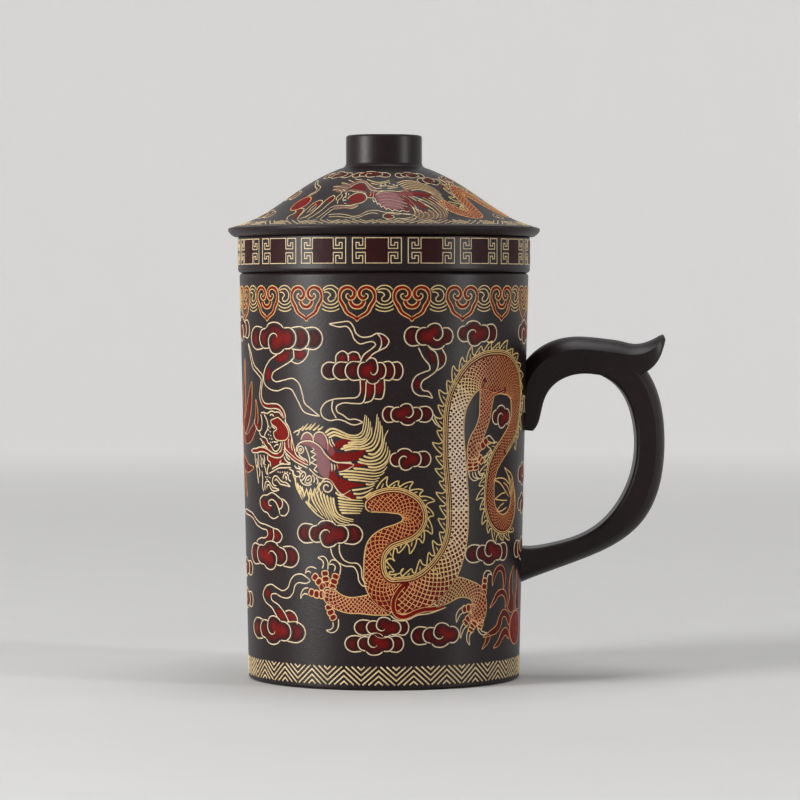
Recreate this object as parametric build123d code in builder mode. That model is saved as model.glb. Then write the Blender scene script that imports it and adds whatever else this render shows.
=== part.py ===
"""A lidded clay tea mug: a tapered mug with an ear handle, a lift-out strainer basket and a domed lid.

Millimetres, +Z up. The origin is on the mug's axis, on the surface that the foot stands on.
The handle points along +X. Each clay member that is formed by itself is one solid.
"""

import os

from build123d import *

# Mug body
mug_height = 112.0
rim_radius = 40.0
foot_radius = 37.5
wall = 4.0
floor_thickness = 4.5
floor_round = 5.0
rim_round = 1.1
foot_recess = 1.6
foot_ring_width = 4.5
foot_round = 0.9

# Strainer basket, which hangs from the rim by its collar
collar_height = 10.0
collar_overhang = 0.4
collar_lower_round = 1.0
collar_upper_round = 0.6
basket_depth = 66.0
basket_wall = 3.0
basket_clearance = 0.6
mouth_round = 0.5

# Perforated strainer plate that closes the basket
plate_thickness = 3.0
plate_round = 1.2
hole_diameter = 2.4
hole_ring_pitch = 6.0
hole_rings = 4
holes_in_first_ring = 6

# Lid
brim_overhang = 2.75
brim_thickness = 2.4
brim_round = 0.45
brim_undercut = 1.6
dome_rise = 16.5
lid_wall = 4.2
flange_depth = 6.0
flange_wall = 3.0
flange_clearance = 0.6
flange_round = 0.8
dome_upper_reach_share = 0.45
dome_lower_reach_share = 0.42
dome_upper_slope_share = 0.38
dome_lower_slope_share = 0.25
cavity_reach_share = 0.33
cavity_step_share = 0.60

# Knob
knob_radius = 10.5
knob_height = 9.1
knob_flare_height = 1.6
knob_flare_width = 1.5
knob_round = 0.7

# Handle
handle_bottom = 26.0
handle_span = 69.0
handle_reach = 38.5
handle_width = 13.5
handle_inner_round = 1.3
handle_crown_share = 0.34
handle_round_limit_share = 0.80

# Places along the handle's two limbs. Each is an inner point, an outer point and a width. A point is its distance
# from the mug's wall as a share of handle_reach and its height above handle_bottom as a share of handle_span.
# A width is a share of handle_width. The arch runs from the tail under the upper root to the thumb tip.
arch_station_shares = [
    ((0.057, 0.613), (-0.066, 0.620), 0.50),
    ((0.111, 0.688), (-0.070, 0.725), 0.70),
    ((0.162, 0.775), (-0.024, 0.877), 0.84),
    ((0.271, 0.826), (0.167, 0.970), 0.95),
    ((0.437, 0.843), (0.420, 0.991), 1.00),
    ((0.580, 0.832), (0.595, 0.981), 1.00),
    ((0.731, 0.829), (0.725, 0.967), 0.98),
    ((0.868, 0.854), (0.829, 0.965), 0.92),
    ((0.939, 0.893), (0.904, 0.980), 0.80),
    ((0.978, 0.942), (0.953, 0.995), 0.62),
    ((0.995, 0.976), (0.980, 1.000), 0.42),
]

# The grip starts inside the arch and runs round to the lower root.
grip_station_shares = [
    ((0.470, 0.852), (0.544, 0.962), 0.95),
    ((0.620, 0.809), (0.740, 0.928), 0.98),
    ((0.746, 0.713), (0.932, 0.794), 0.97),
    ((0.798, 0.572), (1.008, 0.594), 0.94),
    ((0.775, 0.442), (0.984, 0.400), 0.92),
    ((0.661, 0.304), (0.833, 0.229), 0.90),
    ((0.457, 0.203), (0.538, 0.120), 0.90),
    ((0.236, 0.161), (0.217, 0.051), 0.92),
    ((-0.034, 0.151), (-0.066, -0.014), 1.00),
]

# Heights that follow from the stack of mug, collar and lid
collar_top = mug_height + collar_height
brim_top = collar_top + brim_thickness
knob_seat = brim_top + dome_rise
knob_top = knob_seat + knob_height
basket_bottom = mug_height - basket_depth
floor_top = foot_recess + floor_thickness


def wall_radius(height):
    """The mug's outer radius at a height, on its straight taper."""
    return foot_radius + (rim_radius - foot_radius) * height / mug_height


def bore_radius(height):
    """The mug's inner radius at a height."""
    return wall_radius(height) - wall


# Radii of the basket and the lid, each from the piece that it fits into or covers
collar_radius = rim_radius + collar_overhang
basket_radius = bore_radius(mug_height) - basket_clearance
basket_end_radius = bore_radius(basket_bottom) - basket_clearance
mouth_radius = basket_radius - basket_wall
basket_end_bore = basket_end_radius - basket_wall
flange_radius = mouth_radius - flange_clearance
flange_bore = flange_radius - flange_wall
brim_radius = collar_radius + brim_overhang
knob_seat_radius = knob_radius + knob_flare_width


# Mug body: a tapered cup that stands on a foot ring
with BuildPart() as mug_body:
    with BuildSketch(Plane.XZ):
        with BuildLine():
            Polyline(
                (0, foot_recess),
                (foot_radius - foot_ring_width, foot_recess),
                (foot_radius - foot_ring_width, 0),
                (foot_radius, 0),
                (rim_radius, mug_height),
                (bore_radius(mug_height), mug_height),
                (bore_radius(floor_top), floor_top),
                (0, floor_top),
                close=True,
            )
        make_face()
    revolve(axis=Axis.Z)
    rings = mug_body.edges().filter_by(GeomType.CIRCLE)
    rim_edges = rings.group_by(Axis.Z)[-1]
    foot_edges = rings.group_by(Axis.Z)[0]
    floor_edge = rings.filter_by_position(Axis.Z, floor_top, floor_top)
    fillet(floor_edge, floor_round)
    fillet(rim_edges, rim_round)
    fillet(foot_edges, foot_round)
mug_body.part.label = "mug_body"


# Solid shape of the mug's outside, which trims the handle's roots to the wall
with BuildPart() as mug_outside:
    with BuildSketch(Plane.XZ):
        with BuildLine():
            Polyline((0, 0), (foot_radius, 0), (rim_radius, mug_height), (0, mug_height), close=True)
        make_face()
    revolve(axis=Axis.Z)


def handle_point(shares):
    """A point of the handle's side outline, from its shares."""
    reach_share, height_share = shares
    height = handle_bottom + height_share * handle_span
    return Vector(wall_radius(height) + reach_share * handle_reach, 0, height)


def handle_section(station):
    """Sketches the handle's section at a station: flat inside and sides, and a crowned outside."""
    inner_shares, outer_shares, width_share = station
    inner = handle_point(inner_shares)
    outer = handle_point(outer_shares)
    outward = (outer - inner).normalized()
    thickness = (outer - inner).length
    half_width = width_share * handle_width / 2
    shoulder = thickness * (1 - handle_crown_share)
    corner_round = min(handle_inner_round, handle_round_limit_share * shoulder)
    plane = Plane(origin=inner, x_dir=outward, z_dir=outward.cross(Vector(0, 1, 0)))
    with BuildSketch(plane) as section:
        with BuildLine():
            Polyline((shoulder, -half_width), (0, -half_width), (0, half_width), (shoulder, half_width))
            ThreePointArc((shoulder, half_width), (thickness, 0), (shoulder, -half_width))
        make_face()
        fillet(section.vertices().group_by(Axis.X)[0], corner_round)
    return section.sketch


# Handle: an arch that ends in a thumb tip and a grip that grows out of it, trimmed to the mug's wall
with BuildPart() as handle:
    loft([handle_section(station) for station in arch_station_shares])
    loft([handle_section(station) for station in grip_station_shares])
    add(mug_outside.part, mode=Mode.SUBTRACT)
handle.part.label = "handle"


# Strainer basket: a tube that hangs from the mug's rim by its collar
with BuildPart() as infuser_basket:
    with BuildSketch(Plane.XZ):
        with BuildLine():
            Polyline(
                (mouth_radius, collar_top),
                (collar_radius, collar_top),
                (collar_radius, mug_height),
                (basket_radius, mug_height),
                (basket_end_radius, basket_bottom),
                (basket_end_bore, basket_bottom),
                close=True,
            )
        make_face()
    revolve(axis=Axis.Z)
    rings = infuser_basket.edges().filter_by(GeomType.CIRCLE)
    lower_rings = rings.filter_by_position(Axis.Z, mug_height, mug_height)
    upper_rings = rings.group_by(Axis.Z)[-1]
    fillet(lower_rings.sort_by(SortBy.RADIUS)[-1], collar_lower_round)
    fillet(upper_rings.sort_by(SortBy.RADIUS)[-1], collar_upper_round)
    fillet(upper_rings.sort_by(SortBy.RADIUS)[0], mouth_round)
infuser_basket.part.label = "infuser_basket"


# Strainer plate: a disc with rings of holes, luted under the basket
with BuildPart() as strainer_plate:
    with BuildSketch(Plane.XY.offset(basket_bottom)):
        Circle(basket_end_radius)
    extrude(amount=-plate_thickness)
    fillet(strainer_plate.edges().group_by(Axis.Z)[0], plate_round)
    with BuildSketch(Plane.XY.offset(basket_bottom)):
        Circle(hole_diameter / 2)
        for ring in range(1, hole_rings + 1):
            with PolarLocations(ring * hole_ring_pitch, ring * holes_in_first_ring):
                Circle(hole_diameter / 2)
    extrude(amount=-plate_thickness, mode=Mode.SUBTRACT)
strainer_plate.part.label = "strainer_plate"


# Lid dome: an ogee shell with a flat brim that rests on the collar
cavity_step = collar_top + cavity_step_share * (dome_rise + brim_thickness - lid_wall) / 2
cavity_top = knob_seat - lid_wall
dome_run = brim_radius - brim_round - knob_seat_radius
upper_reach = dome_upper_reach_share * dome_run
lower_reach = dome_lower_reach_share * dome_run
cavity_run = flange_bore - knob_seat_radius
cavity_reach = cavity_reach_share * cavity_run
brim_waist = (brim_top - brim_round + collar_top) / 2
with BuildPart() as lid_dome:
    with BuildSketch(Plane.XZ):
        with BuildLine():
            Polyline((0, cavity_top), (0, knob_seat), (knob_seat_radius, knob_seat))
            Bezier(
                (knob_seat_radius, knob_seat),
                (knob_seat_radius + upper_reach, knob_seat - dome_upper_slope_share * upper_reach),
                (brim_radius - brim_round - lower_reach, brim_top + dome_lower_slope_share * lower_reach),
                (brim_radius - brim_round, brim_top),
            )
            RadiusArc((brim_radius - brim_round, brim_top), (brim_radius, brim_top - brim_round), brim_round)
            Bezier(
                (brim_radius, brim_top - brim_round),
                (brim_radius, brim_waist),
                (brim_radius - brim_undercut, collar_top),
            )
            Polyline((brim_radius - brim_undercut, collar_top), (flange_bore, collar_top), (flange_bore, cavity_step))
            Bezier(
                (flange_bore, cavity_step),
                (flange_bore - cavity_reach, cavity_step + cavity_reach),
                (knob_seat_radius + cavity_reach, cavity_top),
                (knob_seat_radius, cavity_top),
            )
            Line((knob_seat_radius, cavity_top), (0, cavity_top))
        make_face()
    revolve(axis=Axis.Z)
lid_dome.part.label = "lid_dome"


# Lid flange: the ring under the brim that centres the lid in the basket's mouth
with BuildPart() as lid_flange:
    with BuildSketch(Plane.XY.offset(collar_top)):
        Circle(flange_radius)
        Circle(flange_bore, mode=Mode.SUBTRACT)
    extrude(amount=-flange_depth)
    fillet(lid_flange.edges().group_by(Axis.Z)[0], flange_round)
lid_flange.part.label = "lid_flange"


# Knob: a short drum that flares where it is luted to the dome
with BuildPart() as lid_knob:
    with BuildSketch(Plane.XZ):
        with BuildLine():
            Line((0, knob_seat), (knob_seat_radius, knob_seat))
            RadiusArc((knob_seat_radius, knob_seat), (knob_radius, knob_seat + knob_flare_height), knob_flare_height)
            Polyline(
                (knob_radius, knob_seat + knob_flare_height),
                (knob_radius, knob_top),
                (0, knob_top),
                (0, knob_seat),
            )
        make_face()
    revolve(axis=Axis.Z)
    fillet(lid_knob.edges().group_by(Axis.Z)[-1], knob_round)
lid_knob.part.label = "lid_knob"


os.makedirs("parts", exist_ok=True)
for piece in (mug_body, handle, infuser_basket, strainer_plate, lid_dome, lid_flange, lid_knob):
    export_step(piece.part, f"parts/{piece.part.label}.step")
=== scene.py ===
"""Dresses a clay tea mug: dark burnished clay with a raised gold and red enamel drawing."""

import math

import bpy
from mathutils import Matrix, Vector
from mathutils.bvhtree import BVHTree
from mathutils.geometry import delaunay_2d_cdt


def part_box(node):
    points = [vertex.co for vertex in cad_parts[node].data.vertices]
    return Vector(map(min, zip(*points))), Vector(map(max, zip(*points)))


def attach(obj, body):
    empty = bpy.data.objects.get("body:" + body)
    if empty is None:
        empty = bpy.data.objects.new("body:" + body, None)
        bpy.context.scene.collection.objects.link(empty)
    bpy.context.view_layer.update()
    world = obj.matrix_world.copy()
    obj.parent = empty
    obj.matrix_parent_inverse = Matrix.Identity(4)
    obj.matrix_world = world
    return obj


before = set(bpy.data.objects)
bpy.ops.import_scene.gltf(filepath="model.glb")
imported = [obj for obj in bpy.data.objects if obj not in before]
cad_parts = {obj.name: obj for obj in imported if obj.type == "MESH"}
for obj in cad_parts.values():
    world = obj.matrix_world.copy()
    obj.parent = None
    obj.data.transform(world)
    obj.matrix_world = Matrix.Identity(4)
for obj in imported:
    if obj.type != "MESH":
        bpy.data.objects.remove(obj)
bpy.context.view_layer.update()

bl_info = {
    "name": "Clay Tea Mug",
    "version": (1, 0, 0),
    "blender": (4, 5, 0),
    "location": "3D View > Sidebar > Tea Mug",
    "description": "Dresses a clay tea mug with burnished clay and an enamel drawing",
    "category": "Object",
}

MM = 0.001

# Rays that look for the clay start this far out, in metres
RAY_START = 0.2

# Drawings are flat and in millimetres. The wall's is at its true size at this radius
DRAWING_RADIUS = 38.8
HALF_TURN = math.pi * DRAWING_RADIUS

# Steps along a path, the curves' kind, the least length that counts, and the limit of a mitre's stretch
CURVE_STEP = 0.4
PATCH_STEP = 2 * CURVE_STEP
STRAIGHT_STEP = 1.2
CENTRIPETAL_POWER = 0.5
TINY = 1e-6
LEAST_MITRE_COSINE = 0.5

# Width of a line at its pointed ends, and height of a line as it thins to nothing
POINT_SHARE = 0.45
THIN_HEIGHT_SHARE = 0.4

# Grid of points inside a wash: its pitch, and its margin, stagger and clearance in shares of the pitch
WASH_GRID = 0.65
GRID_MARGIN_SHARE = 0.3
GRID_STAGGER_SHARE = 0.5
GRID_CLEARANCE_SHARE = 0.4

# A wash is filled with triangles inside its outline, and points closer than this become one
TRIANGLES_INSIDE = 1
MERGE_DISTANCE = 1e-5

# Washes lie in layers, a step apart, so that those that overlap don't meet
WASH_STEP = 0.005 * MM
WASH_LAYERS = 8


class ClaySettings(bpy.types.PropertyGroup):
    """Colours of the clay and the enamels."""

    clay_colour: bpy.props.FloatVectorProperty(
        name="Clay", description="Main colour of the burnished clay", subtype="COLOR", size=3,
        default=(0.0096, 0.0047, 0.0052), min=0, max=1,
    )
    grain_colour: bpy.props.FloatVectorProperty(
        name="Grain", description="Colour of the fine pale grains in the clay", subtype="COLOR", size=3,
        default=(0.025, 0.018, 0.0195), min=0, max=1,
    )
    pale_gold: bpy.props.FloatVectorProperty(
        name="Pale gold", description="Colour of the palest enamel lines", subtype="COLOR", size=3,
        default=(0.64, 0.505, 0.365), min=0, max=1,
    )
    yellow_gold: bpy.props.FloatVectorProperty(
        name="Yellow gold", description="Colour of the dragon's hair and spines", subtype="COLOR", size=3,
        default=(0.56, 0.405, 0.135), min=0, max=1,
    )
    salmon_gold: bpy.props.FloatVectorProperty(
        name="Salmon gold", description="Colour of the lines of the ruyi heads", subtype="COLOR", size=3,
        default=(0.62, 0.31, 0.125), min=0, max=1,
    )
    deep_gold: bpy.props.FloatVectorProperty(
        name="Deep gold", description="Colour of the flames and the dragon's net", subtype="COLOR", size=3,
        default=(0.54, 0.19, 0.045), min=0, max=1,
    )
    red: bpy.props.FloatVectorProperty(
        name="Red", description="Colour of the red enamel wash", subtype="COLOR", size=3,
        default=(0.165, 0.0042, 0.0022), min=0, max=1,
    )
    straw: bpy.props.FloatVectorProperty(
        name="Straw", description="Colour of the wash under the hair on the lid", subtype="COLOR", size=3,
        default=(0.105, 0.068, 0.03), min=0, max=1,
    )
    # A mauve pink that is partly the face's own paler enamel and partly a painted highlight on the red
    blush_and_sheen: bpy.props.FloatVectorProperty(
        name="Blush", description="Colour of the wash on the dragon's face", subtype="COLOR", size=3,
        default=(0.205, 0.098, 0.105), min=0, max=1,
    )


class EnamelSettings(bpy.types.PropertyGroup):
    """Sizes of the enamel lines."""

    line_width: bpy.props.FloatProperty(
        name="Line width", description="Width of an enamel line", unit="LENGTH", default=0.48 * MM, min=0,
    )
    line_height: bpy.props.FloatProperty(
        name="Line height", description="How far a line stands off the clay", unit="LENGTH",
        default=0.11 * MM, min=0,
    )
    wash_height: bpy.props.FloatProperty(
        name="Wash height", description="How far a wash stands off the clay", unit="LENGTH",
        default=0.035 * MM, min=0,
    )
    wash_edge: bpy.props.FloatProperty(
        name="Wash edge", description="How far a wash's edge stands off the clay", unit="LENGTH",
        default=0.012 * MM, min=0,
    )
    stroke_height: bpy.props.FloatProperty(
        name="Stroke height", description="How far a red stroke stands off the clay", unit="LENGTH",
        default=0.085 * MM, min=0,
    )
    root_depth: bpy.props.FloatProperty(
        name="Root depth", description="How far an edge is sunk in the clay", unit="LENGTH",
        default=0.03 * MM, min=0,
    )


class StageSettings(bpy.types.PropertyGroup):
    """Place and lens of the camera."""

    camera_distance: bpy.props.FloatProperty(
        name="Camera distance", description="From the mug's axis", unit="LENGTH", default=0.980, min=0,
    )
    eye_height: bpy.props.FloatProperty(
        name="Eye height", description="Above the floor", unit="LENGTH", default=0.1031, min=0,
    )
    aim_right: bpy.props.FloatProperty(
        name="Aim right", description="Place of the image's centre beside the axis", unit="LENGTH",
        default=0.00443,
    )
    aim_height: bpy.props.FloatProperty(
        name="Aim height", description="Height of the image's centre", unit="LENGTH", default=0.0768,
    )
    lens: bpy.props.FloatProperty(
        name="Lens", description="Focal length", unit="CAMERA", default=159.1, min=1,
    )


class MugSettings(bpy.types.PropertyGroup):
    """Everything that a user would change."""

    clay: bpy.props.PointerProperty(type=ClaySettings, name="Clay", description="Colours")
    enamel: bpy.props.PointerProperty(type=EnamelSettings, name="Enamel", description="Line sizes")
    stage: bpy.props.PointerProperty(type=StageSettings, name="Stage", description="Camera")


def settings():
    """The scene's settings for the mug."""
    return bpy.context.scene.tea_mug


# Surfaces that a flat drawing is laid on


class Surface:
    """A CAD node's outside, found by rays, for laying a drawing on."""

    def __init__(self, node):
        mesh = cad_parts[node].data
        corners = [v.co for v in mesh.vertices]
        self.tree = BVHTree.FromPolygons(corners, [p.vertices for p in mesh.polygons])

    def on(self, start, direction, lift):
        """The point that a ray meets, lifted off the surface."""
        place, normal, _, _ = self.tree.ray_cast(start, direction)
        if place is None:
            raise RuntimeError(f"the drawing runs off its surface at {start}")
        return place + normal * lift


class Wall(Surface):
    """A round wall: across runs along the wall at the drawing's radius, and up is the height."""

    def __init__(self, node, radius):
        super().__init__(node)
        self.radius = radius

    def place(self, across, up, lift):
        """The point of the clay at a place of the drawing, lifted off it."""
        angle = across / self.radius
        outward = Vector((math.sin(angle), -math.cos(angle), 0))
        return self.on(outward * RAY_START + Vector((0, 0, up * MM)), -outward, lift)


class Dome(Surface):
    """The lid's top, drawn as it looks from above, with the front towards -Y."""

    def place(self, across, up, lift):
        """The point of the clay at a place of the drawing, lifted off it."""
        return self.on(Vector((across * MM, up * MM, RAY_START)), Vector((0, 0, -1)), lift)


# Flat drawing


def knot(start, end):
    """The step of a centripetal curve's parameter from one point to the next."""
    return max((end - start).length, TINY) ** CENTRIPETAL_POWER


def smooth(points, closed=False, step=CURVE_STEP):
    """A centripetal curve through the points."""
    pts = [Vector(p) for p in points]
    if closed:
        ends = [pts[-1]] + pts + pts[:2]
    else:
        ends = [2 * pts[0] - pts[1]] + pts + [2 * pts[-1] - pts[-2]]
    made = []
    for p0, p1, p2, p3 in zip(ends, ends[1:], ends[2:], ends[3:]):
        t1 = knot(p0, p1)
        t2 = t1 + knot(p1, p2)
        t3 = t2 + knot(p2, p3)
        count = max(1, round((p2 - p1).length / step))
        for i in range(count):
            t = t1 + (t2 - t1) * i / count
            a1 = p0 + (p1 - p0) * (t / t1)
            a2 = p1 + (p2 - p1) * ((t - t1) / (t2 - t1))
            a3 = p2 + (p3 - p2) * ((t - t2) / (t3 - t2))
            b1 = a1 + (a2 - a1) * (t / t2)
            b2 = a2 + (a3 - a2) * ((t - t1) / (t3 - t1))
            made.append(b1 + (b2 - b1) * ((t - t1) / (t2 - t1)))
    if not closed:
        made.append(pts[-1])
    return made


def straight(points, closed=False, step=STRAIGHT_STEP):
    """The points with straight runs between them, cut short enough to follow a round wall."""
    pts = [Vector(p) for p in points]
    runs = zip(pts, pts[1:] + pts[:1]) if closed else zip(pts, pts[1:])
    made = []
    for start, end in runs:
        count = max(1, math.ceil((end - start).length / step))
        made += [start.lerp(end, i / count) for i in range(count)]
    if not closed:
        made.append(pts[-1])
    return made


def sideways(path, closed):
    """The mitred sideways direction at each point of a path."""
    made = []
    last = len(path) - 1
    for i, here in enumerate(path):
        before = path[i - 1] if i or closed else here
        after = path[(i + 1) % len(path)] if i < last or closed else here
        a = (here - before).normalized() if (here - before).length else (after - here).normalized()
        b = (after - here).normalized() if (after - here).length else a
        along = (a + b).normalized() if (a + b).length > TINY else a
        normal = Vector((-along.y, along.x))
        stretch = max(LEAST_MITRE_COSINE, normal.dot(Vector((-a.y, a.x))))
        made.append(normal / stretch)
    return made


class Drawing:
    """Lines, washes and strokes of enamel, drawn flat in millimetres.

    A pen is the gold's tone, the line's width and, where it tapers, the width at its tip. Widths are
    shares of the enamel's line width. A wash is the red's strength, the share of it that is left at its
    edge and, where that isn't one step of the grid, how far in it fades.
    """

    def __init__(self):
        self.lines = []
        self.washes = []
        self.strokes = []

    def line(self, path, tone, width, tip=None, closed=False, blunt=False):
        """A line along a finished path."""
        tip = width if tip is None else tip
        if blunt:
            path = [path[0], *path, path[-1]]
        shares = [width + (tip - width) * i / max(1, len(path) - 1) for i in range(len(path))]
        self.lines.append((path, shares, tone, closed, blunt))

    def curve(self, points, tone, width, tip=None, closed=False):
        """A smooth line through points."""
        self.line(smooth(points, closed), tone, width, tip, closed)

    def ruled(self, points, tone, width, closed=False, blunt=False):
        """A line of straight runs from point to point."""
        self.line(straight(points, closed), tone, width, None, closed, blunt)

    def stroke(self, points, width, strength=1.0):
        """A red stroke through points, raised like a line."""
        path = smooth(points)
        self.strokes.append((path, [width] * len(path), strength))

    def wash(self, outline, strength, edge, fade=WASH_GRID):
        """A red wash inside a finished outline."""
        self.washes.append((outline, strength, edge, fade))

    def patch(self, points, strength, edge, fade=WASH_GRID):
        """A red wash inside a smooth outline through points."""
        self.wash(smooth(points, True, PATCH_STEP), strength, edge, fade)


def moved(across=0.0, flip=False):
    """A move of the whole drawing round the wall, mirrored first where asked."""
    sign = -1 if flip else 1
    return lambda p: Vector((across + sign * p.x, p.y)), flip


def front_and_back():
    """Moves for a drawing on the wall's front and, mirrored, on its back."""
    return [moved(), moved(HALF_TURN, True)]


def plan_mirror():
    """A move of the lid's drawing to the back, mirrored."""
    return lambda p: Vector((p.x, -p.y)), True


class EnamelMesh:
    """Gathers one colour of a drawing as raised ribbons and pads on a surface."""

    def __init__(self, surface):
        self.surface = surface
        self.vertices = []
        self.faces = []
        self.tones = []

    def ribbon(self, path, shares, tone, closed, blunt, flip, lifts):
        """A ribbon along a path. The lifts are those of its middle and its edges."""
        enamel = settings().enamel
        half = enamel.line_width / MM / 2
        start = len(self.vertices)
        last = len(path) - 1
        for i, (here, side) in enumerate(zip(path, sideways(path, closed))):
            at_end = not closed and i in (0, last)
            reach = side * half * shares[i] * (POINT_SHARE if at_end and not blunt else 1.0)
            full = min(1.0, THIN_HEIGHT_SHARE + (1.0 - THIN_HEIGHT_SHARE) * shares[i])
            height = lifts[1] if at_end else lifts[0] * full
            for point, lift in ((here + reach, lifts[1]), (here, height), (here - reach, lifts[1])):
                self.vertices.append(self.surface.place(point.x, point.y, lift))
                self.tones.append(tone)
        count = len(path)
        for i in range(count if closed else count - 1):
            here, after = start + 3 * i, start + 3 * ((i + 1) % count)
            for k in (0, 1):
                face = (here + k, here + k + 1, after + k + 1, after + k)
                self.faces.append(face[::-1] if flip else face)

    def pad(self, outline, strength, edge, fade, step):
        """A low pad inside an outline, thinner and weaker along its edge."""
        enamel = settings().enamel
        count = len(outline)
        inside = [p for p in grid_points(outline) if within(p, outline)]
        points, _, faces, sources, _, _ = delaunay_2d_cdt(
            list(outline) + inside, [], [list(range(count))], TRIANGLES_INSIDE, MERGE_DISTANCE
        )
        start = len(self.vertices)
        for point, source in zip(points, sources):
            border = any(s < count for s in source)
            lift = step + (enamel.wash_edge if border else enamel.wash_height)
            self.vertices.append(self.surface.place(point.x, point.y, lift))
            depth = 0.0 if border else min((point - p).length for p in outline)
            self.tones.append(strength * (edge + (1.0 - edge) * min(1.0, depth / fade)))
        for face in faces:
            corners = [points[i] for i in face]
            turn = (corners[1] - corners[0]).cross(corners[2] - corners[0])
            ordered = face if turn > 0 else face[::-1]
            self.faces.append([start + i for i in ordered])

    def piece(self, name, material, body):
        """Makes the object, riding on a body."""
        mesh = bpy.data.meshes.new(name)
        mesh.from_pydata(self.vertices, [], self.faces)
        mesh.attributes.new("tone", "FLOAT", "POINT").data.foreach_set("value", self.tones)
        mesh.polygons.foreach_set("use_smooth", [True] * len(mesh.polygons))
        mesh.materials.append(material)
        mesh.validate()
        made = bpy.data.objects.new(name, mesh)
        bpy.context.scene.collection.objects.link(made)
        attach(made, body)


def grid_points(outline):
    """A staggered grid over an outline's box."""
    low_x, high_x = min(p.x for p in outline), max(p.x for p in outline)
    low_y, high_y = min(p.y for p in outline), max(p.y for p in outline)
    made = []
    rows = int((high_y - low_y) / WASH_GRID) + 1
    columns = int((high_x - low_x) / WASH_GRID) + 1
    for row in range(rows):
        shift = GRID_STAGGER_SHARE * (row % 2)
        y = low_y + (row + GRID_MARGIN_SHARE) * WASH_GRID
        for column in range(columns):
            made.append(Vector((low_x + (column + shift + GRID_MARGIN_SHARE) * WASH_GRID, y)))
    return made


def within(point, outline):
    """True where a point is inside an outline and clear of its edge."""
    inside = False
    for a, b in zip(outline, outline[1:] + outline[:1]):
        if (a.y > point.y) != (b.y > point.y):
            if point.x < a.x + (b.x - a.x) * (point.y - a.y) / (b.y - a.y):
                inside = not inside
        if (a - point).length < GRID_CLEARANCE_SHARE * WASH_GRID:
            return False
    return inside


def lay(drawing, surface, moves, names, body):
    """Lays copies of a drawing on a surface as a gold piece and, where it has any red, a red piece."""
    enamel = settings().enamel
    gold = EnamelMesh(surface)
    red = EnamelMesh(surface)
    line_lifts = (enamel.line_height, -enamel.root_depth)
    stroke_lifts = (enamel.stroke_height, enamel.stroke_height - enamel.root_depth)
    for move, flip in moves:
        for path, shares, tone, closed, blunt in drawing.lines:
            gold.ribbon([move(p) for p in path], shares, tone, closed, blunt, flip, line_lifts)
        for i, (outline, strength, edge, fade) in enumerate(drawing.washes):
            red.pad([move(p) for p in outline], strength, edge, fade, i % WASH_LAYERS * WASH_STEP)
        for path, shares, strength in drawing.strokes:
            red.ribbon([move(p) for p in path], shares, strength, False, True, flip, stroke_lifts)
    if gold.faces:
        gold.piece(names[0], gold_enamel(), body)
    if red.faces:
        red.piece(names[1], red_enamel(), body)


# Materials


# Noise of each finish: its scale in the object's metres and its detail
CLAY_GRAIN = (2600, 3)
CLAY_CLOUDING = (70, 4)
CLAY_TOOTH = (1500, 4)
GOLD_WEAR = (900, 3)
GOLD_SHEEN = (400, 2)
GOLD_TOOTH = (2400, 3)
RED_PATCHES = (420, 4)
RED_SHEEN = (600, 2)
RED_TOOTH = (1800, 3)
NOISE_ROUGHNESS = 0.55

# Stretches of a noise, and the shares or the roughness that they turn into
WHOLE = (0.0, 1.0)
MIDDLE = (0.3, 0.7)
GRAIN_STRETCH = (0.56, 0.74)
GRAIN_SHARES = (0.0, 0.75)
WEAR_STRETCH = (0.3, 0.5)
WEAR_SHARES = (0.35, 0.0)
PATCH_STRETCH = (0.32, 0.62)
PATCH_SHARES = (0.62, 1.0)
CLAY_ROUGHNESS = (0.35, 0.43)
GOLD_ROUGHNESS = (0.38, 0.48)
RED_ROUGHNESS = (0.42, 0.55)

# Colours of the clay's dark and light clouds and of worn gold, in shares of the clay's and of deep gold
CLAY_CLOUD_SHARES = (0.80, 1.18)
WORN_SHARE = 0.42

# Specular levels, and each bump's strength and depth
CLAY_SPECULAR = 0.2
GOLD_SPECULAR = 0.4
RED_SPECULAR = 0.08
CLAY_BUMP = (0.6, 0.06 * MM)
ENAMEL_BUMP = (0.3, 0.04 * MM)

# Tones between which gold turns from deep to salmon, yellow and pale, and red to a mauve pink, which is
# partly a painted highlight, and to straw
GOLD_STEPS = ((0.0, 0.3), (0.3, 0.5), (0.5, 1.0))
RED_STEPS = ((1.0, 2.0), (2.0, 3.0))


def new_material(name):
    """A material with its nodes, links and shader."""
    material = bpy.data.materials.new(name)
    material.use_nodes = True
    tree = material.node_tree
    return material, tree.nodes, tree.links, tree.nodes["Principled BSDF"]


def noise(nodes, links, scale, detail):
    """Noise in the object's own coordinates, which are metres."""
    place = nodes.new("ShaderNodeTexCoord")
    texture = nodes.new("ShaderNodeTexNoise")
    texture.inputs["Scale"].default_value = scale
    texture.inputs["Detail"].default_value = detail
    texture.inputs["Roughness"].default_value = NOISE_ROUGHNESS
    links.new(place.outputs["Object"], texture.inputs["Vector"])
    return texture.outputs["Fac"]


def spread(nodes, links, value, stretch, result):
    """Maps a stretch of a value to another stretch, clamped."""
    node = nodes.new("ShaderNodeMapRange")
    for name, number in zip(("From Min", "From Max", "To Min", "To Max"), (*stretch, *result)):
        node.inputs[name].default_value = number
    links.new(value, node.inputs["Value"])
    return node.outputs["Result"]


def mixed(nodes, links, share, first, second):
    """Mixes two colours, each a colour or a socket."""
    node = nodes.new("ShaderNodeMix")
    node.data_type = "RGBA"
    links.new(share, node.inputs["Factor"])
    for name, colour in (("A", first), ("B", second)):
        socket = next(s for s in node.inputs if s.name == name and s.type == "RGBA")
        if isinstance(colour, bpy.types.NodeSocket):
            links.new(colour, socket)
        else:
            socket.default_value = (*colour, 1.0)
    return next(s for s in node.outputs if s.type == "RGBA")


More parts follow.
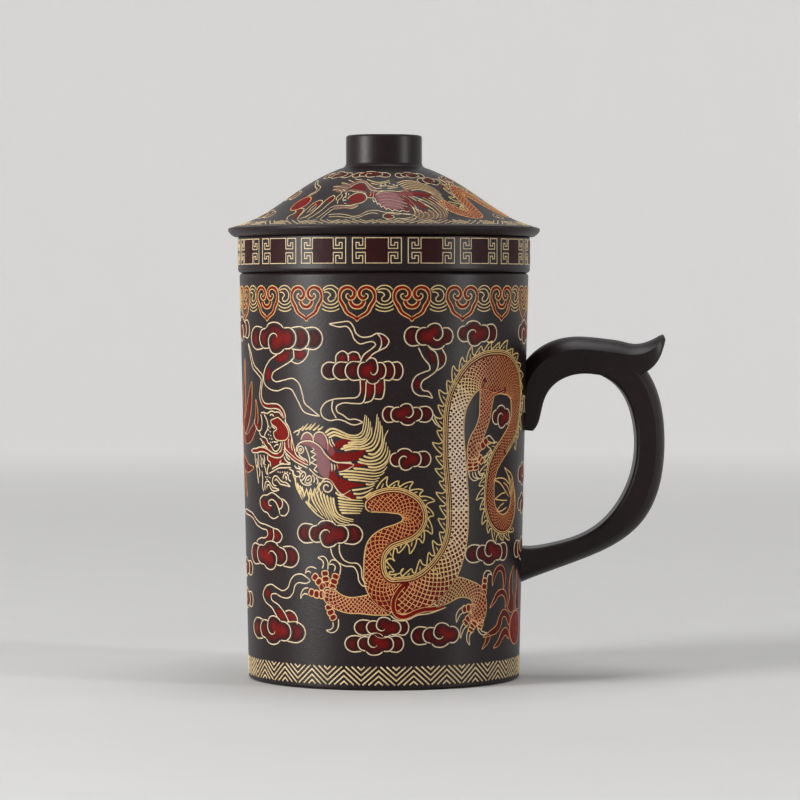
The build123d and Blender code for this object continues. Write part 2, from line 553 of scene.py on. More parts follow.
def worked(nodes, links, operation, first, second):
    """Works out a value from two others."""
    node = nodes.new("ShaderNodeMath")
    node.operation = operation
    links.new(first, node.inputs[0])
    links.new(second, node.inputs[1])
    return node.outputs["Value"]


def raised(nodes, links, shader, tooth, strength, depth):
    """Bumps the shader's normal by a noise."""
    bump = nodes.new("ShaderNodeBump")
    bump.inputs["Strength"].default_value = strength
    bump.inputs["Distance"].default_value = depth
    links.new(noise(nodes, links, *tooth), bump.inputs["Height"])
    links.new(bump.outputs["Normal"], shader.inputs["Normal"])


def shiny(nodes, links, shader, sheen, roughness, specular):
    """Sets how the shader shines, with a roughness that follows a noise."""
    links.new(spread(nodes, links, sheen, MIDDLE, roughness), shader.inputs["Roughness"])
    shader.inputs["Specular IOR Level"].default_value = specular


def tone_of(nodes):
    """The drawing's tone at each point."""
    tone = nodes.new("ShaderNodeAttribute")
    tone.attribute_name = "tone"
    return tone.outputs["Fac"]


def turned(nodes, links, tone, colour, steps, colours):
    """A colour that turns into others, one step of the tone after another."""
    for step, next_colour in zip(steps, colours):
        share = spread(nodes, links, tone, step, WHOLE)
        colour = mixed(nodes, links, share, colour, tuple(next_colour))
    return colour


def burnished_clay():
    """Dark purplish clay, fine-grained and burnished to a satin."""
    if "burnished_clay" in bpy.data.materials:
        return bpy.data.materials["burnished_clay"]
    material, nodes, links, shader = new_material("burnished_clay")
    clay = settings().clay
    cloudy = noise(nodes, links, *CLAY_CLOUDING)
    dark, light = (tuple(share * c for c in clay.clay_colour) for share in CLAY_CLOUD_SHARES)
    body = mixed(nodes, links, spread(nodes, links, cloudy, MIDDLE, WHOLE), dark, light)
    grains = spread(nodes, links, noise(nodes, links, *CLAY_GRAIN), GRAIN_STRETCH, GRAIN_SHARES)
    links.new(mixed(nodes, links, grains, body, tuple(clay.grain_colour)), shader.inputs["Base Color"])
    shiny(nodes, links, shader, cloudy, CLAY_ROUGHNESS, CLAY_SPECULAR)
    raised(nodes, links, shader, CLAY_TOOTH, *CLAY_BUMP)
    return material


def gold_enamel():
    """Gold line enamel, from deep orange through salmon and yellow to pale by the drawing's tone."""
    if "gold_enamel" in bpy.data.materials:
        return bpy.data.materials["gold_enamel"]
    material, nodes, links, shader = new_material("gold_enamel")
    clay = settings().clay
    colours = (clay.salmon_gold, clay.yellow_gold, clay.pale_gold)
    colour = turned(nodes, links, tone_of(nodes), tuple(clay.deep_gold), GOLD_STEPS, colours)
    wear = spread(nodes, links, noise(nodes, links, *GOLD_WEAR), WEAR_STRETCH, WEAR_SHARES)
    worn = tuple(WORN_SHARE * c for c in clay.deep_gold)
    links.new(mixed(nodes, links, wear, colour, worn), shader.inputs["Base Color"])
    shiny(nodes, links, shader, noise(nodes, links, *GOLD_SHEEN), GOLD_ROUGHNESS, GOLD_SPECULAR)
    raised(nodes, links, shader, GOLD_TOOTH, *ENAMEL_BUMP)
    return material


def red_enamel():
    """Brick-red enamel that thins out to clay at tones under 1, and pales to a mauve pink at 2, partly a
    painted highlight, and to straw at 3.
    """
    if "red_enamel" in bpy.data.materials:
        return bpy.data.materials["red_enamel"]
    material, nodes, links, shader = new_material("red_enamel")
    clay = settings().clay
    tone = tone_of(nodes)
    patchy = spread(nodes, links, noise(nodes, links, *RED_PATCHES), PATCH_STRETCH, PATCH_SHARES)
    strength = worked(nodes, links, "MULTIPLY", spread(nodes, links, tone, WHOLE, WHOLE), patchy)
    colour = mixed(nodes, links, strength, tuple(clay.clay_colour), tuple(clay.red))
    # Tones from 1 to 2 pale the red to mauve pink, partly a painted highlight on the dragon's face
    colour = turned(nodes, links, tone, colour, RED_STEPS, (clay.blush_and_sheen, clay.straw))
    links.new(colour, shader.inputs["Base Color"])
    shiny(nodes, links, shader, noise(nodes, links, *RED_SHEEN), RED_ROUGHNESS, RED_SPECULAR)
    raised(nodes, links, shader, RED_TOOTH, *ENAMEL_BUMP)
    return material


# Ornament bands


BAND_COUNT = 17
CHEVRON_COUNT = 25
LID_CHEVRON_COUNT = 26

# One quarter of a fret unit, from the top of its window to the top of its side
FRET_QUARTER = [
    (3.05, 3.35), (3.05, 0.52), (5.55, 0.52), (5.55, 2.12), (4.75, 2.12), (4.75, 1.36), (3.76, 1.36),
    (3.76, 3.35), (6.55, 3.35),
]
FRET_MIDDLE = 117.65
FRET_TURN = -2.7
FRET_PEN = (0.78, 0.64)
WINDOW_WASH = (0.1, 0.9)

# Right half of a ruyi head, measured from its tip: lines, smile and lip, and the middles of its red strokes
RUYI_OUTER = [
    (0, 0), (0.66, 0.88), (1.77, 1.48), (2.8, 2.07), (3.45, 2.8), (3.84, 3.7), (4.43, 4.65), (4.95, 5.83),
    (5, 6.9), (4.85, 8.05), (4.28, 9.1), (3.4, 9.6), (2.36, 9.75), (1.33, 9.45), (0.5, 8.64), (0.17, 7.75),
    (0.26, 6.87), (0.74, 6.13), (1.48, 5.76), (2.29, 5.98), (2.92, 6.72), (2.8, 7.35), (2.4, 7.6),
    (2.03, 7.25),
]
RUYI_INNER = [
    (0, 1.26), (1.33, 2.14), (2.2, 2.68), (2.75, 3.47), (3.02, 4.36), (3.84, 5.54), (4.28, 6.57),
    (4.06, 7.75), (3.25, 8.57), (2.36, 8.86), (1.48, 8.5), (1.08, 7.75), (1.28, 7), (1.75, 6.75),
    (2.03, 7.25),
]
RUYI_SMILE = [(2.29, 5.7), (2.05, 4.75), (1.2, 3.77), (0, 3.5)]
RUYI_LIP = [(1.35, 5.76), (1.1, 5.1), (0, 4.5)]
RUYI_MIDDLE_LINE = [
    (0, 0.63), (1, 1.52), (2, 2.07), (2.77, 2.78), (3.24, 3.7), (3.72, 4.65), (4.42, 5.7), (4.64, 6.75),
    (4.46, 7.9), (3.77, 8.83), (2.9, 9.2), (1.9, 9.1), (0.95, 8.5), (0.62, 7.75), (0.77, 6.93),
    (1.25, 6.45), (1.85, 6.3),
]
RUYI_SMILE_MIDDLE = [(1.82, 5.73), (1.58, 4.93), (0.9, 4.2), (0, 3.98)]
RUYI_STROKE = 1.55
RUYI_PEN = (0.42, 0.76)
RUYI_TIP_HEIGHT = 98.6
RUYI_TURN = -10.4

# The double spiral between two heads, about its own middle, and how far that is above the heads' tips
RUYI_SPIRAL = [
    (-1.92, 0.66), (-1.33, 0.80), (-0.59, 0.68), (-0.08, 0.24), (0, -0.07), (-0.44, -0.50), (-0.76, -0.96),
    (-0.59, -1.48), (0, -1.72), (0.81, -1.48), (1.4, -0.74), (1.57, 0.07), (1.18, 1.03), (0.44, 1.57),
    (-0.44, 1.67), (-1.33, 1.48), (-2.05, 1.1),
]
SPIRAL_RISE = 7.2

# Arcs round each spiral: radius, and middle and reach in degrees
SPIRAL_ARCS = ((2.58, -90, 60), (3.47, -90, 44), (4.36, -90, 35), (2.58, 90, 60))
SPIRAL_PEN = (0.6, 0.76)
ARC_POINTS = 9

# Chevrons: the edges of their bands, how far each line climbs, the first peak, and the shortest rise drawn
CHEVRON_LOW = 1.5
CHEVRON_HIGH = 6.43
CHEVRON_SPACING = 1.46
CHEVRON_RISE = 4.23
CHEVRON_FIRST_PEAK = 0.99
CHEVRON_LEAST = 0.3
CHEVRON_TURN = -2.2
CHEVRON_PEN = (0.72, 1.0)
LID_BAND_INNER = 38.0
LID_BAND_OUTER = 41.1
LID_BAND_RISE = 3.4
LID_BAND_FIRST_PEAK = 0.7
LID_CHEVRON_PEN = (0.72, 0.72)


def around(count, turn, radius):
    """Moves for copies all round, the first at an angle in degrees."""
    pitch = 2 * math.pi * radius / count
    return [moved(math.radians(turn) * radius + i * pitch) for i in range(count)]


def mirrored(points):
    """The points on the other side of the drawing's middle."""
    return [(-x, y) for x, y in points]


def whole(half):
    """A line made of its right half, which ends in the middle, and that half's mirror image."""
    return half + mirrored(reversed(half[:-1]))


def raised_by(points, height):
    """The points moved up."""
    return [(x, y + height) for x, y in points]


def draw_fret():
    """One unit of the collar's key fret: a window between two pairs of hooks, in one unbroken line."""
    drawing = Drawing()
    right = FRET_QUARTER + [(x, -y) for x, y in reversed(FRET_QUARTER)]
    loop = right + mirrored(reversed(right))
    window = [right[0], *mirrored([right[0], right[-1]]), right[-1]]
    drawing.ruled(raised_by(loop, FRET_MIDDLE), *FRET_PEN, closed=True)
    drawing.wash(straight(raised_by(window, FRET_MIDDLE), True), *WINDOW_WASH)
    return drawing


def draw_ruyi():
    """One ruyi head of the mug's upper band, with the double spiral beside it."""
    drawing = Drawing()
    for half in (RUYI_SMILE, RUYI_LIP):
        drawing.curve(raised_by(whole(half), RUYI_TIP_HEIGHT), *RUYI_PEN)
    drawing.stroke(raised_by(whole(RUYI_SMILE_MIDDLE), RUYI_TIP_HEIGHT), RUYI_STROKE)
    for turn in (list, mirrored):
        for half in (RUYI_OUTER, RUYI_INNER):
            drawing.curve(turn(raised_by(half, RUYI_TIP_HEIGHT)), *RUYI_PEN)
        drawing.stroke(turn(raised_by(RUYI_MIDDLE_LINE, RUYI_TIP_HEIGHT)), RUYI_STROKE)
    beside_head = math.pi * DRAWING_RADIUS / BAND_COUNT
    middle = RUYI_TIP_HEIGHT + SPIRAL_RISE
    drawing.curve([(beside_head + x, middle + y) for x, y in RUYI_SPIRAL], *SPIRAL_PEN)
    for radius, turn, reach in SPIRAL_ARCS:
        drawing.curve(arc(beside_head, middle, radius, turn - reach, turn + reach), *SPIRAL_PEN)
    return drawing


def arc(across, up, radius, start, end, count=ARC_POINTS):
    """Points on an arc, with its angles in degrees."""
    turns = [math.radians(start + (end - start) * i / (count - 1)) for i in range(count)]
    return [(across + radius * math.cos(t), up + radius * math.sin(t)) for t in turns]


def ring(across, up, radius, count):
    """Points all round a circle."""
    return arc(across, up, radius, 0, 360 - 360 / count, count)


def chevrons(drawing, half, low, high, rise, first, shape, pen):
    """One period of chevrons cut off square at the edges of their band, each line mitred at its corner."""
    slope = rise / half
    peak = low + first
    while peak - rise < high - CHEVRON_LEAST:
        valley = peak - rise
        if peak <= high:
            run = (peak - low) / slope
            points = [(-run, low), (0.0, peak), (run, low)]
        else:
            run = (high - valley) / slope
            points = [(half - run, high), (half, valley), (half + run, high)]
        drawing.ruled(shape(points), *pen, blunt=True)
        peak += CHEVRON_SPACING


def draw_foot_chevrons():
    """One period of the chevrons above the foot."""
    drawing = Drawing()
    half = math.pi * DRAWING_RADIUS / CHEVRON_COUNT
    ends = (CHEVRON_LOW, CHEVRON_HIGH)
    chevrons(drawing, half, *ends, CHEVRON_RISE, CHEVRON_FIRST_PEAK, list, CHEVRON_PEN)
    return drawing


# Clouds


# A cloud's middle in shares of its half width and half height: left lobe, top, right lobe, and the hook
CLOUD_LEFT_SHARES = [
    (-0.38, -0.62), (-0.72, -0.63), (-0.95, -0.34), (-1.0, 0.04), (-0.86, 0.48), (-0.55, 0.64),
]
CLOUD_TOP_SHARES = [(-0.55, 0.64), (-0.38, 0.90), (-0.08, 1.0), (0.22, 0.90), (0.42, 0.64)]
CLOUD_RIGHT_SHARES = [
    (0.42, 0.64), (0.72, 0.65), (0.94, 0.38), (1.0, 0.02), (0.92, -0.40), (0.70, -0.64), (0.44, -0.66),
]
CLOUD_HOOK_SHARES = [
    (0.44, -0.66), (0.28, -0.88), (0.0, -1.0), (-0.25, -0.88), (-0.39, -0.52), (-0.42, -0.12),
    (-0.31, 0.18), (-0.12, 0.31), (0.05, 0.20), (0.08, 0.0),
]
CLOUD_RED_SHARES = [
    (-0.92, 0.04), (-0.78, 0.42), (-0.48, 0.56), (-0.08, 0.88), (0.34, 0.58), (0.72, 0.54), (0.92, 0.0),
    (0.70, -0.54), (0.38, -0.60), (0.02, -0.86), (-0.22, -0.74), (-0.30, -0.40), (-0.30, -0.10),
    (-0.14, 0.16), (-0.04, 0.30), (-0.24, 0.34), (-0.48, 0.06), (-0.56, -0.50), (-0.78, -0.46),
]

# Place, half width, half height, flips across and up, and the lobes to the left and right in millimetres
CLOUDS = [
    ((-32.2, 94.2), 7.4, 4.3, 1, 1, (5.0,), (4.2, 4.0)),
    ((-3.2, 85.6), 3.7, 3.5, -1, -1, (3.4, 3.4, 3.3), (2.3, 2.2)),
    ((13.6, 94.8), 5.2, 3.5, -1, -1, (3.1,), ()),
    ((25.6, 95.5), 5.4, 3.4, 1, 1, (), (3.0,)),
    ((6.0, 74.0), 4.2, 2.9, -1, -1, (2.2,), (3.0,)),
    ((5.8, 62.0), 4.2, 2.9, 1, 1, (), (2.7,)),
    ((-15.5, 41.9), 5.8, 3.6, 1, 1, (3.9,), (3.9,)),
    ((-36.5, 35.3), 7.2, 3.9, -1, 1, (4.4,), (4.4,)),
    ((-35.4, 15.0), 7.2, 3.9, 1, -1, (5.2,), (5.2,)),
    ((-0.1, 17.0), 4.7, 2.8, 1, -1, (3.4,), (2.2,)),
    ((-2.3, 12.6), 4.9, 3.0, 1, -1, (3.7,), (2.8,)),
    ((16.3, 14.7), 5.5, 3.3, 1, -1, (3.3,), ()),
    ((33.0, 36.2), 5.5, 3.3, 1, -1, (4.0,), (2.8,)),
    ((37.0, 72.9), 4.2, 3.1, 1, 1, (), ()),
    ((51.4, 95.8), 5.4, 3.3, 1, 1, (), (3.2,)),
    ((53.4, 56.8), 5.2, 3.2, -1, -1, (), (3.0,)),
    ((53.6, 48.6), 5.0, 2.9, 1, 1, (), (3.0,)),
    ((-54.6, 96.6), 6.0, 3.4, -1, 1, (), (2.6,)),
    ((-56.2, 31.0), 5.4, 2.7, 1, 1, (), (3.2,)),
    ((58.6, 76.0), 4.6, 3.0, 1, -1, (2.6,), ()),
    ((-56.0, 22.4), 5.0, 2.9, 1, -1, (), (3.0,)),
    ((54.2, 36.3), 4.8, 3.2, 1, -1, (3.2,), ()),
]

CLOUD_PEN = (0.84, 0.84)
CLOUD_WASH = (1.0, 0.06, 1.9)
LID_CLOUD_PEN = (0.84, 0.6)

# A lobe's outline, its ends and its red, in shares of its width from the cloud out and of its half height
LOBE_SHARES = [(0.45, 0.99), (0.86, 0.6), (1.0, 0.0), (0.86, -0.6), (0.45, -0.99)]
LOBE_END_SHARE = 0.92
LOBE_RED_SHARES = [
    (0.02, 0.72), (0.50, 0.78), (0.80, 0.4), (0.88, 0.0), (0.80, -0.4), (0.50, -0.78), (0.02, -0.72),
    (0.14, 0.0),
]

# A lobe reaches into its cloud by at most these shares of the cloud's half width and of its own width
LOBE_REACH_SHARES = (0.22, 0.42)

# The first lobe's half height, in shares of the cloud's, and its red, and what is left of both in the next
LOBE_HEIGHT_SHARE = 0.72
LOBE_SHRINKING = 0.95
LOBE_STRENGTH = 0.8
LOBE_DIMMING = 0.65


def cloud(
    drawing, place, half_width, half_height, flip_across, flip_up, left, right, turn=0.0, pen=CLOUD_PEN,
):
    """A ruyi cloud: a middle that curls into a hook, with lobes at its sides, turned by an angle."""
    cosine, sine = math.cos(turn), math.sin(turn)

    def set_down(points):
        return [(place[0] + x * cosine - y * sine, place[1] + x * sine + y * cosine) for x, y in points]

    def at(shares):
        return set_down([(flip_across * half_width * x, flip_up * half_height * y) for x, y in shares])

    for shares in (CLOUD_LEFT_SHARES, CLOUD_TOP_SHARES, CLOUD_RIGHT_SHARES, CLOUD_HOOK_SHARES):
        drawing.curve(at(shares), *pen)
    drawing.patch(at(CLOUD_RED_SHARES), *CLOUD_WASH)
    for way, lobes in ((-1, left), (1, right)):
        edge = half_width
        tall = LOBE_HEIGHT_SHARE * half_height
        strength = LOBE_STRENGTH
        for width in lobes:
            inner = edge - min(LOBE_REACH_SHARES[0] * half_width, LOBE_REACH_SHARES[1] * width)
            outline = [(edge + x * width, y * tall) for x, y in LOBE_SHARES]
            outline = [(inner, LOBE_END_SHARE * tall), *outline, (inner, -LOBE_END_SHARE * tall)]
            red = [(edge + x * width, y * tall) for x, y in LOBE_RED_SHARES]
            drawing.curve(set_down([(way * x, y) for x, y in outline]), *pen)
            drawing.patch(set_down([(way * x, y) for x, y in red]), strength, *CLOUD_WASH[1:])
            edge += width
            tall *= LOBE_SHRINKING
            strength *= LOBE_DIMMING


RIBBON_WASH = (0.85, 0.15, 0.8)

# Ribbons that trail from the clouds, and the dragon's long whisker
RIBBONS = [
    [(-31.5, 89.9), (-35.2, 88), (-37.6, 85), (-37.7, 82.2), (-35.6, 80.6), (-32, 80), (-28.6, 80.8),
     (-26.6, 80.4), (-24.6, 77.6), (-22.6, 74.6), (-20.4, 73.8), (-17.6, 73.4)],
    [(-25.6, 89), (-27.2, 87.8), (-30.5, 86.3), (-33.6, 84.8), (-34.1, 83.4), (-32.6, 82.5), (-29, 83),
     (-26, 83.4), (-24, 82), (-23, 79.4), (-22.2, 76.8), (-20.5, 75.5), (-17.6, 73.4)],
    [(-25.8, 91.2), (-25.6, 89), (-26.4, 88.2), (-24.4, 87.4), (-22, 88.6), (-20.9, 90.4), (-20.8, 91.8)],
    [(-14.8, 98.1), (-12, 98.5), (-9.2, 98.7), (-8.1, 97.5), (-7.3, 95.6), (-5.8, 94.6), (-3.5, 94.8),
     (-1.8, 95.6), (0.1, 95.1), (1.3, 93.5), (0.6, 92), (-0.9, 91.2), (-3, 90), (-4.2, 88.6)],
    [(-14.8, 98.1), (-12, 97.3), (-9.8, 97.4), (-8.6, 96), (-7.8, 94), (-6.3, 92.8), (-4.5, 93.2),
     (-3, 93.4), (-2.2, 92.6), (-3.2, 91.5), (-5.3, 89.9), (-6.3, 87.8)],
    [(-1.8, 95.6), (-0.8, 94.2), (-0.7, 92.4), (-1.4, 91)],
    [(-6.3, 83.4), (-6.3, 79.8), (-7.2, 78.6), (-10, 78.3), (-13.5, 78), (-16, 77), (-17.3, 75),
     (-16.8, 73.3), (-14.8, 72.3), (-12.4, 72.6), (-10.4, 72.1), (-9, 71.4), (-7.6, 71.2), (-5.5, 71.9)],
    [(-4.7, 83), (-4.9, 79.2), (-5.7, 77.1), (-8, 76.9), (-11, 77), (-12.8, 76), (-12.6, 74.7), (-11, 73.8),
     (-9.5, 72.7), (-7.5, 72.7), (-5.5, 71.9)],
    [(-13.8, 77.9), (-14.1, 75.4), (-12.8, 72.8)], [(-2.4, 82.6), (-2.5, 79.4), (-3.3, 77.7), (-5.4, 77)],
    [(0.1, 83.6), (0.1, 80.2), (-0.6, 78.2), (-2.7, 78.2)],
    [(-12.9, 87.6), (-12.7, 89.8), (-11, 90.9), (-9.6, 90), (-9.4, 88)],
    [(-9.6, 90), (-8.2, 90.7), (-6.8, 90.3), (-6.1, 88.6)],
    [(9, 91.9), (10.5, 89), (12.1, 87), (12.2, 85.9), (10.5, 85.2), (8.5, 84.2), (7.4, 82), (7.9, 80),
     (9.4, 79), (11.5, 78.8), (13.2, 78.2)],
    [(12, 91.7), (13.9, 90.4), (14.6, 87.6), (14, 85.6), (12, 84), (10.3, 82.9), (9.8, 81.5), (10.4, 80.4),
     (12, 80), (13.2, 78.2)],
    [(15.6, 91.6), (16.8, 89.2), (16.3, 87.1), (14.1, 85.5)],
    [(13.2, 74.2), (14, 73.2), (15.2, 72.8), (16, 73)], [(12.9, 73), (14, 71.4), (15.4, 70.4)],
    [(-14.9, 38.3), (-14.2, 36), (-12.5, 34.3), (-10.5, 33.4), (-8.3, 33.2), (-7.2, 31.5), (-6.9, 29.6),
     (-6, 28.3), (-4.5, 27.9)],
    [(-12.3, 39.3), (-12.2, 37), (-11, 35), (-9.4, 34.3), (-7.2, 34.1), (-6.2, 32.8), (-6, 30.5),
     (-5.2, 29), (-4.4, 28.6)],
    [(-57.4, 46.4), (-54.8, 46.9), (-52, 46.9), (-49, 46.6), (-47, 46.3), (-45, 45.4), (-42, 44),
     (-38, 43.5), (-34.8, 42.8), (-32.4, 42.3), (-31, 40.8), (-31.8, 39.3), (-33.6, 38.7)],
    [(-57.4, 46.4), (-54.8, 45.7), (-52, 45.6), (-49, 45.4), (-46.5, 44.9), (-43.5, 43.2), (-40, 42.3),
     (-37.8, 42), (-37.4, 40.9), (-38.5, 40), (-41, 39.8), (-43.4, 39), (-44, 38.2)],
    [(-34.8, 42.8), (-34.5, 40.6), (-35.2, 39.2)],
    [(-33.4, 18.4), (-36, 21), (-39.4, 22.6), (-40.6, 24.4), (-39, 26.6), (-36, 27.4), (-33.5, 26.6),
     (-31, 26), (-29, 27), (-28, 29), (-26.5, 30.4), (-24, 30.8), (-21, 29.2)],
    [(-28.8, 17.4), (-30.2, 19.6), (-33, 22), (-36.1, 23.3), (-36.3, 24.5), (-34.3, 25), (-31.5, 24.2),
     (-28.8, 24.2), (-27.2, 25.5), (-26.4, 27.6), (-25.3, 28.4), (-22.4, 28.4), (-21, 29.2)],
    [(-30.4, 20.4), (-28.5, 20.8), (-26.6, 20), (-25.7, 18.5), (-25.9, 17)],
    [(-29, 72.4), (-29, 73.4), (-29.6, 74.7), (-30.8, 75.9), (-32, 76.4), (-34, 76.5), (-36.6, 76.4),
     (-38, 76.8), (-39.3, 78.5), (-39, 81), (-38.3, 83.7), (-40.6, 85.4), (-43.2, 86.9), (-44.6, 89.2),
     (-46, 91.4), (-47.2, 92.8)],
    [(-29.8, 72.5), (-29.9, 73.3), (-30.5, 74.3), (-31.6, 75), (-33.4, 75.2), (-35.6, 75.1), (-37.6, 75.4),
     (-39, 76.2), (-40.2, 78), (-39.8, 81), (-39.3, 83), (-41.2, 84.4), (-44, 86), (-45.4, 88.4),
     (-47.2, 92.8)],
]
RIBBON_REDS = [
    [(-33, 88.8), (-29.4, 90.4), (-26.6, 91), (-27.4, 88.8), (-30.6, 87.4)],
    [(-37, 84), (-35.2, 86.6), (-34.2, 85.4), (-34.6, 83), (-36.2, 82.4)],
    [(-25, 90.8), (-22, 91), (-21.6, 89.8), (-23.6, 88.4), (-25.2, 89)],
    [(-5.9, 83), (-5.1, 82.8), (-5.2, 79.4), (-5.9, 79)],
    [(-4.3, 82.6), (-2.8, 82.2), (-3, 79.4), (-4.5, 78)],
    [(-2, 82.4), (-0.3, 83.2), (-0.3, 80), (-1.9, 78.9)],
    [(-12.3, 88.2), (-12.1, 89.8), (-10.6, 90.2), (-9.9, 88.2)],
    [(-9, 88.2), (-9, 89.8), (-7.2, 90), (-6.6, 88.4)],
    [(-5.6, 88.8), (-3.8, 90.2), (-2.6, 91), (-3.6, 89.4), (-4.8, 88.4)],
    [(-1.4, 95), (0.2, 94.6), (0.8, 93.4), (0.2, 92.4), (-0.4, 93)],
    [(10.8, 91.4), (13.2, 90), (14, 88), (12.8, 87.6), (11.8, 89.6)],
    [(15.2, 90.8), (16.3, 89.2), (15.7, 87.2), (15, 88.6)],
    [(8, 82.6), (9.6, 83.6), (9.4, 82), (9.6, 80.6), (8.4, 80.8)],
    [(-34.2, 42.2), (-32.6, 41.8), (-31.5, 40.8), (-32.4, 39.6), (-34, 39.6)],
    [(-39, 39.4), (-37, 40.8), (-37.4, 42.6), (-35.2, 42.4), (-35, 40.4), (-36.4, 39.2)],
    [(-51, 46.2), (-47, 45.8), (-44.4, 44.4), (-46.6, 45.2), (-50, 45.8)],
    [(-34.6, 21), (-31.6, 20.6), (-29.4, 17.9), (-32.6, 18.3)],
    [(-30, 19.8), (-28.4, 20.4), (-26.6, 19.4), (-26.2, 17.6), (-28.6, 17.8)],
    [(-39.8, 24.6), (-37.6, 26.6), (-36.6, 25.2), (-37, 23.4)],
]

# The small cloud under the dragon's chin, which curls the other way
CHIN_CLOUD = [
    [(-31.6, 46.4), (-32.4, 48.4), (-33.2, 49.6), (-34.4, 50.4), (-35.8, 50.4), (-36.8, 49.7),
     (-36.4, 48.9), (-35.2, 48.8)],
    [(-31.6, 46.4), (-29.6, 46.4), (-28.3, 47.8), (-28.5, 49.2), (-29.6, 50.3), (-31, 51)],
    [(-32.2, 46.2), (-34, 45.4), (-36, 45.7), (-37.4, 46.8), (-39.4, 47.2), (-41, 48.6), (-41.2, 50.2),
     (-40, 51.2), (-38.6, 51.6), (-37.4, 51.6), (-36.4, 52), (-35, 52.4), (-33.6, 52), (-32.4, 51.4),
     (-31, 50.6), (-30.6, 49.4), (-31.2, 48.3), (-32.4, 48)],
]
CHIN_REDS = [
    [(-40.4, 49.8), (-39, 50.7), (-37.6, 50), (-37.2, 49), (-35.4, 48.6), (-35, 47.6), (-36.8, 47.4),
     (-39, 47.8), (-40.4, 48.8)],
    [(-37, 51), (-35.6, 51.6), (-34.2, 51.4), (-33.2, 50.6), (-34.4, 50.9), (-35.8, 51)],
    [(-32.8, 50), (-31.6, 50.4), (-31, 49.4), (-31.4, 48.6), (-32.4, 48.8)],
]


def draw_clouds():
    """The clouds and their trailing ribbons round one dragon."""
    drawing = Drawing()
    for facts in CLOUDS:
        cloud(drawing, *facts)
    for points in RIBBONS + CHIN_CLOUD:
        drawing.curve(points, *CLOUD_PEN)
    for points in RIBBON_REDS + CHIN_REDS:
        drawing.patch(points, *RIBBON_WASH)
    return drawing


# Dragon


# The body's middle line from neck to tail, with its half width
DRAGON_BODY = [
    (-4.4, 49.8, 2), (-2.2, 50.6, 2.9), (1.5, 51.1, 3.4), (5, 50.6, 3.3), (7.6, 48.8, 3.4),
    (8.4, 45.9, 3.3), (6.9, 43.4, 3), (4, 42, 2.8), (0.8, 40.8, 2.9), (-1.6, 38.6, 3.1), (-2.5, 35.5, 2.9),
    (-2.5, 32.2, 2.9), (-1.8, 29.2, 3.4), (0.5, 26.6, 4.2), (4, 25.6, 4.9), (8, 26, 4.8), (11.8, 27.5, 4.7),
    (15.2, 30.2, 4.6), (17.9, 33.6, 4.3), (19.8, 37.6, 3.8), (20.8, 42, 3.5), (21, 46.5, 3.4),
    (20.9, 51, 3.4), (20.5, 55.5, 3.4), (20, 60, 3.4), (19.6, 64.5, 3.4), (19.4, 69, 3.2),
    (19.6, 73.5, 3.1), (20.6, 77.6, 3.2), (22.7, 81.3, 3.5), (25.8, 84.2, 3.9), (29.5, 85.4, 4.7),
    (34, 85.2, 5.7), (38.5, 84.6, 5.8), (42.7, 82.6, 5), (45.2, 79.4, 3.9), (45.5, 75.6, 3.2),
    (44.8, 71.8, 2.9), (42.6, 68.4, 2.7), (39.2, 65.4, 2.5), (36, 62.8, 2.4), (33.6, 59.8, 2.1),
    (32.4, 56, 1.9), (32.1, 52, 2), (32.6, 48.4, 2.1), (34.6, 45.3, 2.4), (37.8, 43.7, 2.6),
    (41.2, 44.2, 2.6), (43.7, 46.6, 2.2), (44.6, 49.8, 1.7), (44.2, 52.8, 1.1),
]
NECK_END = [(-1.6, 53.4), (-3.4, 52), (-4.9, 50.4), (-4.8, 48.8), (-3.6, 47.9)]
NECK_PEN = (0.3, 0.9)
BODY_PEN = (0.42, 0.85)

# Where along the body the ridge changes sides, its width before and after that, and its lines' places
DORSAL_TURN_SHARE = 0.80
RIDGE_WIDTH = 1.25
TAIL_RIDGE_SHARE = 0.7
TAIL_RIDGE_WIDTH = TAIL_RIDGE_SHARE * RIDGE_WIDTH
RIDGE_INSETS = (0.42, 0.98)
TAIL_RIDGE_INSET = 0.5
RIDGE_PEN = (0.52, 0.95)

# Size of the net's meshes and width of its lines, both by share of the body's length. The lines are widest
# where the body climbs, which with their pale tone there is in part a painted highlight
NET_PITCHES = [
    (0.0, 1.4), (0.20, 1.4), (0.28, 1.65), (0.36, 1.6), (0.42, 1.5), (0.55, 1.4), (0.66, 1.15), (1.0, 1.0),
]
NET_WIDTHS = [
    (0.0, 0.76), (0.20, 0.82), (0.28, 1.0), (0.36, 1.5), (0.42, 1.75), (0.54, 1.7), (0.62, 0.74),
    (1.0, 0.62),
]
SCALE_BOW = 0.22

# The fins' spines, and the gaps left at the two ends of the fins of the body and of the tail
SPINE_PITCH = 3.2
SPINE_LENGTH = 2.8
SPINE_PEN = (0.52, 0.88)
FIN_GAPS = (3.0, 2.0)
TAIL_FIN_GAPS = (1.0, 6.0)

# Lengths that the spines take in turn
SPINE_LENGTH_SHARES = (1.15, 0.72, 1.0, 0.84)

# A spine's sides and rib: shares of the way to the next, of its length, and of its length tailwards
SPINE_BACK_SHARES = [(0.70, 1.0, 0.42), (0.80, 0.70, 0.22), (0.88, 0.38, 0.06)]
SPINE_FRONT_SHARES = [(0.06, 0.14, 0.0), (0.28, 0.38, 0.0), (0.50, 0.72, 0.16), (0.70, 1.0, 0.42)]
SPINE_RIB_SHARES = [(0.42, 0.0, 0.0), (0.66, 0.52, 0.1)]

# Tone of the net by share of the body's length: orange, then pale where it climbs, partly paler gold and
# partly a painted highlight, then deep orange again towards the tail, partly a painted shade
NET_TONES = [
    (0.0, 0.07), (0.20, 0.11), (0.26, 0.26), (0.34, 0.7), (0.42, 0.95), (0.53, 0.98), (0.59, 0.4),
    (0.65, 0.05), (1.0, 0.05),
]

